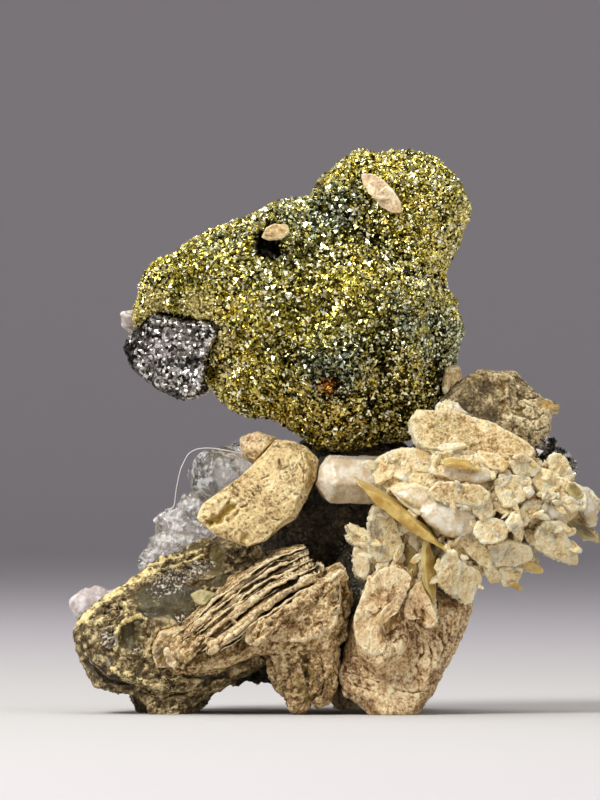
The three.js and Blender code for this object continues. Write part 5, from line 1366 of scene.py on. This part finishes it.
# One leaf: its front edge follows the line, and it runs straight back
def leafRibbon(line, first, last, thickness, seed):
    line = np.array(line, float)
    long = distanceAlong(line)[-1]
    steps = np.linspace(0, long, int(long / leaves["spacing"]))
    path = roundedOff(placesAlong(line, steps), 30)
    share = steps / long
    flat = np.stack([steps, np.full(len(steps), 3.0 * seed), np.zeros(len(steps))], axis=1)
    along = unit(np.gradient(path, axis=0))
    aside = np.stack([-along[:, 1], along[:, 0]], axis=1)
    path = path + aside * (0.2 * roughness(flat, 1.5, seed, 3))[:, None]
    taper = np.clip(np.minimum(share / 0.06, (1 - share) / 0.16), 0.2, 1) ** 0.5
    thick = thickness * taper * (1 + 0.5 * roughness(flat, 0.8, seed + 5, 2))
    front = first + (last - first) * share + 0.5 * roughness(flat, 1.1, seed + 9, 3) + 0.8 * (1 - taper)
    levels = [(0.0, 0.45), (0.12, 0.85), (0.3, 1.0), (0.55, 0.95), (0.9, 1.0), (1.0 + leaves["back"], 1.1)]
    section = [(back, half) for back, half in reversed(levels)] + [(back, -half) for back, half in levels]
    rows = []
    for back, half in section:
        x, z = (path + aside * (thick * half / 2)[:, None]).T
        rows.append(np.stack([x, front + back, z], axis=1))
    points = np.stack(rows, axis=1).reshape(-1, 3)
    backs = np.tile([back for back, _ in section], len(steps))
    blank = np.zeros(len(points))
    # Painted light: the front of each leaf is painted paler as highlight, and its back, between the leaves,
    # darker as shade; the back is also more amber
    marks = {
        "sunk": np.clip((backs - 0.3) / 0.5, 0, 1),
        "edge": np.clip(1.5 - backs / 0.25, 0, 1.5),
        "speck": blank,
        "tone": np.clip(2.4 - backs / 0.2, 0, 2.4),
        "honey": np.clip((backs - 0.3) / 0.6, 0, 0.4),
        "milk": blank,
    }
    return points, tube(len(steps), len(section)), marks


def makeLeafStack():
    skin = fineSkin("calcite_leaf_stack", 0.15, 0)
    rim = leaves["gap"]
    inward = np.clip(awayFrom([*rim, rim[0]], skin.points) / 0.6, 0, 1)
    gap = within(rim, skin.points) * inward * skin.facing()
    skin.swell(-0.6 * gap)
    height, shadeAndTone, honey = strokeMarks(leaves["strokes"], skin, 160)
    skin.swell(height)
    # the sunk face behind the leaves is painted darker as shade
    marks = worked(skin, leaves["rough"], 15, tone=shadeAndTone - 1.2 * gap, honey=honey)
    piece = thinned(meshObject("calciteLeafStack", skin.points, skin.faces, marks), 0.45)
    relief = {**calcite, **leaves["bladeSkin"]}
    together(piece, bladeCluster("leafFacets", leaves["blades"], leaves["strokes"], relief, 15))
    shells = []
    for k, (line, first, last) in enumerate(leaves["lines"]):
        beside = [(x + 0.24, z - 0.34) for x, z in line[: len(line) - k % 2]]
        shells.append(leafRibbon(line, first, last, leaves["thick"][0], 90 + k))
        shells.append(leafRibbon(beside, first + 0.25, last + 0.35, leaves["thick"][1], 70 + k))
    points, faces, marks = joinedUp(shells)
    ribbons = Skin(points, faces)
    marks = worked(ribbons, leaves["ragged"], 19, **marks)
    together(piece, thinned(meshObject("leafRibbons", ribbons.points, ribbons.faces, marks), 0.6))
    settle(piece, leafCalcite, "calcite", "calcite_leaf_stack")


makeLeafStack()
# The large dark plate: glossy grey-green faces, white grains, a yellow rim, ledges and an oval pit
basePlate = {
    "net": 0.15,
    "rough": {"broad": 0.08, "tilt": 0.5, "chip": 0.9, "grain": 0.12, "long": 1.8, "way": (1, 0, 0.5)},
    # line as seen from the front, half width, height, and how cream, dark, white and smooth it is
    "strokes": [
        ([(-30.2, 10.2), (-28, 12.6), (-26, 14), (-24, 15.3), (-22.6, 16.2), (-21, 17.5), (-19.4, 18.2)],
         0.5, 0.12, 1, 0, 0, 0),
        ([(-27.4, 13.6), (-25, 15), (-23.4, 16)], 0.5, 0.05, 1, 0, 0, 0),
        ([(-22.4, 16), (-20.4, 16.9), (-18, 17.5), (-15.4, 18.3)], 0.2, 0.14, 0.9, 0, 0, 0),
        ([(-21, 17.2), (-18.4, 18.3), (-15.6, 18.9)], 0.22, 0.1, 0.8, 0, 0, 0),
        ([(-19.4, 18.2), (-17.4, 19.3), (-15.4, 20.1)], 0.3, 0.1, 0.4, 0, 0, 0),
        ([(-22.4, 16.6), (-20.6, 17.3), (-18.4, 17.9)], 0.1, -0.2, 0, 0.8, 0, 0),
        ([(-20.6, 16.6), (-18.4, 17), (-16.4, 17)], 0.3, -0.3, 0, 0.7, 0, 0),
        ([(-24.3, 8.2), (-24, 9.6)], 1.5, -0.6, 0, 0, 0, 1),
        ([(-25.6, 7.6), (-25.5, 9.4), (-24.9, 10.7), (-23.8, 11.2), (-22.7, 11.5), (-22.1, 11)],
         0.26, 0.4, 1.4, 0, 0, 0),
        ([(-22.2, 11), (-22.1, 9.6), (-22.5, 8.8)], 0.2, 0.08, 0.4, 0, 0, 0),
        ([(-27.4, 6.8), (-26.4, 6.1)], 0.5, 0.3, 0.7, 0, 0.6, 0.6),
        ([(-26, 5.4), (-25, 4.8), (-23.4, 4.7)], 0.35, 0.14, 0.9, 0, 0, 0),
        ([(-25.6, 4.2), (-23.4, 4), (-22.4, 4.2)], 0.18, 0.08, 0.6, 0, 0, 0),
        ([(-28.6, 5.8), (-26.4, 4.2), (-24, 3.6)], 0.7, -0.3, 0, 0.75, 0, 1),
        ([(-29.6, 9), (-27.6, 10.8), (-26, 12)], 0.25, 0.12, 0.6, 0, 0, 0),
        ([(-29, 7.4), (-27.8, 8.6), (-27.4, 10)], 0.3, -0.3, 0, 0.8, 0, 0),
        ([(-26.6, 11.8), (-25.2, 12.6), (-24.6, 12.2)], 0.35, -0.3, 0, 0.8, 0, 0),
        ([(-24.9, 13.2), (-24.3, 12.2), (-24.1, 11.4)], 0.35, 0.1, 0.8, 0, 0, 0),
        ([(-23.4, 11.4), (-22.6, 11.6)], 0.3, 0.1, 0.9, 0, 0, 0),
        ([(-21.9, 7.2), (-21.2, 8.6)], 0.14, 0.14, 0.9, 0, 0, 0),
        ([(-21.4, 6), (-20.9, 6.8)], 0.16, 0.1, 0.7, 0, 0, 0),
        ([(-23, 4.2), (-20.6, 3.2), (-19.4, 3.3), (-18.4, 4)], 0.14, 0.12, 0.8, 0, 0, 0),
        ([(-20.2, 4.6), (-19.4, 3.8), (-18.2, 4.4)], 0.12, 0.1, 0.6, 0, 0, 0),
        ([(-17.6, 5), (-15, 5), (-12.4, 5.3)], 0.2, 0.1, 0.5, 0, 0, 0),
        ([(-22.4, 3.1), (-20, 2.2), (-17.6, 2.8), (-15.6, 3.2)], 0.14, 0.1, 0.5, 0, 0, 0),
        ([(-23.4, 3.6), (-20.6, 2.9), (-17.6, 3.6)], 0.25, -0.3, 0, 0.7, 0, 0),
        ([(-22.8, 2.6), (-20.4, 1.8), (-17.4, 2.6)], 0.2, -0.25, 0, 0.7, 0, 0),
        ([(-17.4, 4.6), (-15.2, 4.4), (-13, 4.4)], 0.4, -0.3, 0, 0.9, 0, 1),
        ([(-21, 9.2), (-20.2, 8), (-20.6, 6.4)], 0.45, -0.35, 0, 0.9, 0, 0),
    ],
    # smooth faces: x, z, half sizes, turn and how olive they are
    "faces": [
        (-19.4, 13.2, 3.7, 2.3, 14, 0.25),
        (-21.8, 13.6, 1.8, 1.6, 30, 0.45),
        (-17.4, 11.6, 1.8, 1.6, 0, 0.5),
        (-13.8, 18, 1, 2, -6, 1),
        (-16.6, 19.3, 1.4, 0.5, 26, 0.9),
        (-24, 9.2, 1.6, 2, 0, 0.6),
        (-13, 15.6, 2.2, 0.7, 14, 0.6),
    ],
    # patches of white grains: x, z, half sizes and turn
    "grains": [
        (-19.6, 15, 2.5, 1.4, 22),
        (-16.2, 16.8, 2.2, 1, 20),
        (-18, 11.2, 1, 0.7, -6),
        (-15.6, 12.9, 1.2, 0.6, 30),
        (-23.2, 7.6, 0.8, 0.5, 10),
        (-26.4, 9, 1, 1.4, 10),
    ],
}


# 1 well inside an oval seen from the front, 0 outside, with an uneven edge
def withinOval(points, x, z, along, aside, turn, seed):
    cosine, sine = math.cos(math.radians(turn)), math.sin(math.radians(turn))
    right, up = points[:, 0] - x, points[:, 2] - z
    away = np.hypot((right * cosine + up * sine) / along, (up * cosine - right * sine) / aside)
    return np.clip((1.15 + 0.25 * roughness(points, 0.9, seed, 2) - away) / 0.3, 0, 1)


def basePlateFinish():
    f = Finish("darkCalcite")
    fine = f.noise(0.26, 3, 0.66, seed=41)
    mid = f.noise(0.9, 4, 0.62, seed=42)
    height = fine * 0.35 + mid * 0.65
    smooth, white = f.mark("smooth"), f.mark("white")
    # the colour follows the bump's height and the small relief: partly the stone's own mottle, partly painted
    # shade in dents and painted highlight on rises
    value = (height - 0.5) * 1.5 + f.mark("crest") * 0.08 + f.mark("tone") * 0.06 + 0.53
    value = value + (f.noise(3.4, 3, 0.6, seed=43) - 0.5) * 0.5
    tones = ((46, 34, 10), (76, 60, 28), (112, 92, 54), (172, 148, 102), (236, 216, 164))
    colour = f.ramp(value, dict(zip((0.34, 0.44, 0.53, 0.62, 0.72), tones)))
    glassy = f.mix(f.rise(mid, 0.35, 0.65), (42, 36, 20), (78, 68, 44))
    glassy = f.mix(f.mark("olive") * 0.8, glassy, (96, 82, 34))
    colour = f.mix(smooth, colour, glassy)
    cream = f.rise(f.mark("cream") * 0.55 + (height - 0.5) * 2.4, 0.2, 0.42)
    colour = f.mix(cream, colour, f.mix(f.rise(mid, 0.4, 0.6), (222, 194, 122), (254, 234, 170)))
    colour = f.mix(f.mark("dark") * 0.85, colour, (54, 38, 16))
    clumps = f.rise(f.noise(0.36, 3, 0.7, seed=44), 0.51, 0.57)
    colour = f.mix(f.rise(white, 0.2, 0.9) * (1 - clumps) * 0.6, colour, (58, 50, 36))
    colour = f.mix(f.rise(white, 0.2, 0.7) * clumps, colour, (226, 214, 192))
    # painted shade in the crevices
    colour = f.mix(f.mark("sunk") * 0.8, colour, (36, 24, 8))
    return f.surface(
        Base_Color=colour,
        Roughness=f.rise(mid, 0.4, 0.6) * 0.2 + 0.52 - smooth * 0.26,
        Normal=f.bump(height * (1 - smooth * 0.75) + clumps * white * 0.25 + cream * 0.15, 1.0, 0.8),
        Specular_IOR_Level=0.4,
    )


def makeBasePlate():
    skin = fineSkin("calcite_base_plate", basePlate["net"], 1)
    points, front, crumble = skin.points, skin.facing(), crumbled(skin.points, 79)
    height = np.zeros(len(points))
    marks = {key: np.zeros(len(points)) for key in ("cream", "dark", "white", "smooth", "olive")}
    for k, (*oval, olive) in enumerate(basePlate["faces"]):
        inside = withinOval(points, *oval, 60 + k) * front
        marks["smooth"] = np.maximum(marks["smooth"], inside)
        marks["olive"] = np.maximum(marks["olive"], inside * olive)
    for k, oval in enumerate(basePlate["grains"]):
        marks["white"] = np.maximum(marks["white"], withinOval(points, *oval, 70 + k) * front * 0.8)
    for k, (line, width, rise, *amounts) in enumerate(basePlate["strokes"]):
        on = onLine(line, width, points, 80 + k, size=0.7, full=1.25) * front
        height += rise * on * (crumble if rise > 0 else 1)
        marks["smooth"] = marks["smooth"] * (1 - on)
        for key, amount in zip(("cream", "dark", "white", "smooth"), amounts):
            marks[key] = np.maximum(marks[key], on * amount)
    skin.swell(height - 0.1 * marks["white"])
    marks = worked(skin, basePlate["rough"], 29, **marks)
    piece = meshObject("calciteBasePlate", skin.points, skin.faces, marks)
    settle(piece, basePlateFinish(), "calcite_dark", "calcite_base_plate", share=0.5)


makeBasePlate()


# Dark matrix: black and brown rock with white grains
def matrixFinish():
    f = Finish("darkMatrix")
    fine = f.noise(0.4, 4, 0.66, seed=51)
    mottle = f.noise(2.6, 4, 0.65, seed=52)
    # the colour follows the bump's height and the small relief: partly the rock's own mottle, partly painted
    # shade in dents and painted highlight on rises
    value = fine + (mottle - 0.5) * 0.8 + f.mark("crest") * 0.08
    tones = {0.34: (36, 33, 26), 0.5: (76, 70, 56), 0.62: (112, 100, 78), 0.76: (160, 148, 122)}
    colour = f.ramp(value, tones)
    dots = (1 - f.rise(f.cells(0.42, 5), 0.16, 0.36)) * f.rise(f.noise(3, 2, 0.5, seed=53), 0.47, 0.57)
    colour = f.mix(dots * 0.85, colour, (196, 190, 174))
    # the crevices are painted near black as shade
    return f.surface(
        Base_Color=f.mix(f.mark("sunk") * 0.8, colour, (16, 13, 8)),
        Roughness=f.rise(mottle, 0.35, 0.6) * 0.3 + 0.36,
        Normal=f.bump(fine, 1.0, 0.8),
    )


matrixSkin = {"broad": 0.4, "tilt": 0.6, "chip": 1.6, "grain": 0.12, "pits": 0.2, "spread": 0.05}


def makeMatrix():
    skin = fineSkin("matrix", 0.25, 1)
    marks = worked(skin, matrixSkin, 33)
    rock = meshObject("matrixRock", skin.points, skin.faces, marks)
    settle(rock, matrixFinish(), "matrix", "matrix", share=0.45)


makeMatrix()


# Quartz: milk and clear glass in one another. Clear is how much of it is glass
def quartzFinish(name, clear, seed, tones=((226, 212, 200), (252, 248, 244)), rough=0.14, dusty=0.2):
    f = Finish(name)
    veil = f.noise(1.5, 4, 0.62, seed=seed)
    fine = f.noise(0.5, 3, 0.62, seed=seed + 5)
    dust = f.rise(f.noise(0.4, 3, 0.6, seed=seed + 3), 0.56, 0.68) * f.rise(veil, 0.44, 0.56)
    colour = f.mix(dust * dusty * 2, f.mix(f.rise(veil, 0.38, 0.6), *tones), (206, 186, 150))
    uneven = f.rise(f.noise(0.8, 3, 0.6, seed=seed + 1), 0.42, 0.7)
    both = {"IOR": 1.54, "Normal": f.bump(f.noise(0.4, 4, 0.62, seed=seed + 2), 0.5, 0.3)}
    milk = f.shader(
        Base_Color=colour,
        Roughness=uneven * 0.3 + rough + dust * 0.3,
        Subsurface_Weight=0.5,
        Subsurface_Radius=(1, 0.85, 0.7),
        Subsurface_Scale=1.0 * millimetre,
        **both,
    )
    glass = f.shader(
        Base_Color=f.mix(fine, (240, 236, 228), (255, 253, 250)),
        Roughness=uneven * 0.12 + 0.02,
        Transmission_Weight=1.0,
        **both,
    )
    share = (1.4 - f.rise(veil * 0.6 + fine * 0.4, 0.4, 0.6) * 0.8) * clear
    return f.ended(f.node("MixShader", None, {0: share, 1: milk, 2: glass}))


def makeQuartz(name, node, material, seed, net=0.19, worn=3, uneven=0.1):
    skin = fineSkin(node, net, worn)
    _, _, _, level = grains(skin.points, 2.2, seed)
    skin.swell(0.1 + uneven * roughness(skin.points, 1.3, seed, 3) + uneven * 1.2 * level)
    settle(meshObject(name, skin.points, skin.faces), material, "quartz", node)


wet = {"rough": 0.04, "dusty": 0}      # smooth, and with no dust in it
milkyQuartz = quartzFinish("milkyQuartz", 0.15, 61)
pinkQuartz = quartzFinish("pinkQuartz", 0.45, 65, ((222, 204, 198), (250, 240, 236)))
warmQuartz = quartzFinish("warmQuartz", 0.16, 63, ((230, 206, 168), (253, 241, 220)), rough=0.07, dusty=0)
clearQuartz = quartzFinish("clearQuartz", 0.92, 67, ((240, 230, 214), (255, 252, 246)), **wet)
sugarQuartz = quartzFinish("sugarQuartz", 0.8, 71, ((206, 198, 190), (252, 248, 244)), **wet)
rosetteQuartz = quartzFinish(
    "rosetteQuartz", 0.2, 77, ((232, 208, 166), (253, 243, 222)), rough=0.08, dusty=0,
)
makeQuartz("quartzUpperLeft", "quartz_upper_left", clearQuartz, 3, worn=8, uneven=0.04)
makeQuartz("quartzCentre", "quartz_centre", warmQuartz, 5, worn=1, uneven=0.04)
makeQuartz("quartzFarLeft", "quartz_far_left", pinkQuartz, 7, worn=14, uneven=0.03)
makeQuartz("quartzLeftTip", "quartz_left_tip", pinkQuartz, 9, net=0.13)
makeQuartz("quartzBack", "quartz_back", milkyQuartz, 11, net=0.24)


def makeRosetteQuartz():
    shells = [
        roundedShell(rim, depth, thick, lean, 20 + k)
        for k, (rim, depth, thick, lean) in enumerate(rosette["quartz"])
    ]
    skin = fineSkin(None, 0.14, 2, shells)
    _, _, _, level = grains(skin.points, 1.3, 14)
    skin.swell(0.05 * roughness(skin.points, 0.9, 13, 3) + 0.12 * level)
    settle(meshObject("rosetteQuartz", skin.points, skin.faces), rosetteQuartz, "quartz", share=0.5)


makeRosetteQuartz()


# The white crust: many small stubby crystals, half melted into one another
def makeQuartzCrust():
    base = fineSkin("quartz_left_crust", 0.3, 3)
    chance = np.random.default_rng(8)
    seats, outward = seatsOn(base, 0.62, 8)
    sizes = (0.2 + 0.34 * chance.random(len(seats)) ** 2)[:, None] * np.array([0.85, 0.85, 1.2])
    turns = standingTurns(outward, 0.5, chance)
    points, faces, _ = crystalsAt(quartzPoint, seats + outward * 0.1, turns, sizes, chance)
    skin = fineSkin("quartz_left_crust", 0.13, 0, [(points, faces)])
    skin.swell(0.03 * roughness(skin.points, 0.5, 9, 2))
    crust = meshObject("quartzCrust", skin.points, skin.faces)
    settle(crust, sugarQuartz, "quartz", "quartz_left_crust", share=0.75)


makeQuartzCrust()


# Dark metallic mineral: silver and black cleavage faces
sphalerite = {
    "tones": {0.06: (30, 27, 23), 0.26: (112, 107, 100), 0.74: (226, 220, 212)},
    # painted shadows along the patch's edges, darkening its facets: line and half width
    "edgeShadows": [
        ([(-14.6, 42), (-14.7, 40), (-15.2, 38)], 0.4),
        ([(-24.6, 42.6), (-24.2, 40), (-22, 37.6), (-18.6, 36.4)], 1.0),
        ([(-22.6, 46.4), (-23.2, 44.4)], 0.7),
    ],
}


def sphaleriteFinish(name, seed, dark):
    f = Finish(name)
    value = f.mark("tint") + (f.noise(1.2, 3, 0.6, seed=seed) - 0.5) * dark
    return f.surface(
        Base_Color=f.ramp(value, sphalerite["tones"]),
        Metallic=0.9,
        Roughness=f.rise(f.noise(0.7, 3, 0.6, seed=seed + 1), 0.3, 0.7) * 0.2 + 0.16,
        Normal=f.bump(f.noise(0.12, 3, 0.6, seed=seed + 2), 0.3, 0.04),
    )


# Painted shadow along the patch's edges, and some unevenness, on each point's tint
def shadowedAlongEdges(tints, points):
    for line, width in sphalerite["edgeShadows"]:
        tints = tints * np.clip((awayFrom(line, points) - width * 0.6) / (0.6 * width), 0.12, 1)
    return tints * np.clip(0.85 + 0.6 * waves(points, 1.1, 83), 0.25, 1.25)


# Flat is how thick each crystal is: below 1 they lie flat on the skin, at 1 they are turned every way
def makeSphalerite(name, node, spacing, size, flat, seed, dark):
    skin = fineSkin(node, 0.2, 2)
    skin.swell(0.1 * roughness(skin.points, 1.1, seed, 3))
    material = sphaleriteFinish(name + "Finish", seed, dark)
    tints = shadowedAlongEdges(np.clip(0.3 + 0.4 * waves(skin.points, 0.5, seed), 0, 1), skin.points)
    patch = meshObject(name, skin.points, skin.faces, {"tint": tints})
    settle(patch, material, "sphalerite", node, share=0.5)
    chance = np.random.default_rng(seed)
    seats, outward = seatsOn(skin, spacing, seed)
    sizes = size * (0.6 + 0.8 * chance.random((len(seats), 3))) * np.array([1, 1, flat])
    turns = standingTurns(outward, 0.3, chance) if flat < 1 else turned(len(seats), chance)
    points, faces, marks = crystalsAt(bipyramid if flat < 1 else sphenoid, seats, turns, sizes, chance)
    marks["tint"] = shadowedAlongEdges(marks["tint"], points)
    settle(meshObject(name + "Facets", points, faces, marks, smooth=False), material, "sphalerite")
makeSphalerite("sphaleritePatch", "sphalerite_patch", 0.42, 0.34, 0.4, 81, 0.5)
makeSphalerite("sphaleriteGrains", "sphalerite_grains", 0.5, 0.28, 1, 85, 0.8)


# A stray white fibre looped over the clear quartz
fibre = {
    "thick": 0.09,
    "sides": 6,
    "steps": 120,
    "path": [(-19.4, -4, 21.6), (-20, -4.4, 23.9), (-18.8, -4.8, 24), (-18.6, -5, 26.1), (-18.1, -5.4, 28.5),
             (-17.2, -5.6, 30.4), (-16.2, -5.6, 31), (-14.6, -5.4, 31.1), (-12.7, -5, 30.8),
             (-10.8, -4.4, 30.4)],
}


def makeFibre():
    corners = np.array(fibre["path"])
    steps = np.linspace(0, distanceAlong(corners)[-1], fibre["steps"])
    path = roundedOff(placesAlong(corners, steps), 14)
    along = unit(np.gradient(path, axis=0))
    side = unit(np.cross(along, (0, 1, 0)))
    other = np.cross(along, side)
    angles = 2 * math.pi * np.arange(fibre["sides"]) / fibre["sides"]
    ring = np.cos(angles)[:, None] * side[:, None] + np.sin(angles)[:, None] * other[:, None]
    points = (path[:, None] + fibre["thick"] / 2 * ring).reshape(-1, 3)
    faces = tube(fibre["steps"], fibre["sides"])[:, ::-1]
    f = Finish("whiteFibre")
    fuzz = f.noise(0.6, 2, 0.5, seed=91)
    white = f.surface(
        Base_Color=f.mix(fuzz, (216, 212, 206), (246, 244, 240)),
        Roughness=f.rise(fuzz, 0.3, 0.7) * 0.2 + 0.6,
    )
    settle(meshObject("whiteFibre", points, faces), white, "quartz")


makeFibre()


# The studio: a pale floor that turns grey as it sweeps up, soft lights and the camera
studio = {
    "floorRadius": 1300,
    "wallRadius": 1700,
    "wallHeight": 2200,
    "step": 60,          # between the floor's rings
    "sides": 96,         # corners in each ring
    "pale": (196, 193, 190),
    "grey": (196, 190, 193),
    "air": (0.8, 0.82, 0.85, 1),
    "airStrength": 0.5,
    # place, width and height, and watts
    "lights": {
        "keyLight": ((-330, -330, 520), (300, 300), 4.9),
        "fillLight": ((440, -420, 260), (600, 600), 1.1),
        "topLight": ((60, 60, 700), (700, 500), 2.0),
        "backLight": ((-420, 380, 320), (400, 400), 0.9),
    },
    "aim": 36,           # height that the lights look at
    "camera": (-4.05, -1200.9, 36.7),
    "lens": 459,
    "sensor": 36,
}


def makeFloor():
    rise = studio["wallRadius"] - studio["floorRadius"]
    step, sides = studio["step"], studio["sides"]
    profile = [(step * k, 0) for k in range(1, int(studio["floorRadius"] / step) + 1)]
    for angle in np.radians(range(10, 91, 10)):
        profile.append((studio["floorRadius"] + rise * math.sin(angle), rise * (1 - math.cos(angle))))
    profile.append((studio["wallRadius"], studio["wallHeight"]))
    angles = 2 * math.pi * np.arange(sides) / sides
    rings = [
        np.stack([radius * np.cos(angles), radius * np.sin(angles), np.full(sides, height)], axis=1)
        for radius, height in profile
    ]
    faces = [fan(0, 1, sides)]
    for row in range(len(profile) - 1):
        faces += band(1 + row * sides, 1 + (row + 1) * sides, sides)
    floor = meshObject("studioFloor", np.concatenate([np.zeros((1, 3)), *rings]), np.concatenate(faces))
    f = Finish("studioPaper")
    away = f.node("VectorMath", {"operation": "LENGTH"}, {0: f.place}, "Value")
    colour = f.mix(f.rise(away, 60, 420), studio["pale"], studio["grey"])
    floor.data.materials.append(f.surface(Base_Color=colour, Roughness=0.8, Specular_IOR_Level=0.2))


def added(name, data, place):
    made = bpy.data.objects.new(name, data)
    bpy.context.scene.collection.objects.link(made)
    made.location = [value * millimetre for value in place]
    return made


def softLight(name, place, size, watts):
    light = bpy.data.lights.new(name, "AREA")
    light.shape = "RECTANGLE"
    light.size, light.size_y = size[0] * millimetre, size[1] * millimetre
    light.energy = watts
    lamp = added(name, light, place)
    aim = lamp.location.copy()
    aim.z -= studio["aim"] * millimetre
    lamp.rotation_euler = aim.to_track_quat("Z", "Y").to_euler()
    lamp.visible_camera = False


def makeStudio():
    makeFloor()
    for name, light in studio["lights"].items():
        softLight(name, *light)
    world = bpy.data.worlds.new("studioAir")
    world.use_nodes = True
    air = world.node_tree.nodes["Background"].inputs
    air["Color"].default_value = studio["air"]
    air["Strength"].default_value = studio["airStrength"]
    bpy.context.scene.world = world
    camera = added("camera", bpy.data.cameras.new("camera"), studio["camera"])
    camera.rotation_euler = (math.radians(90), 0, 0)
    camera.data.lens = studio["lens"]
    camera.data.sensor_width = studio["sensor"]
    camera.data.clip_start = 0.01
    bpy.context.scene.camera = camera
    bpy.context.scene.view_settings.view_transform = "Standard"
makeStudio()
print("studio: floor, lights and camera")
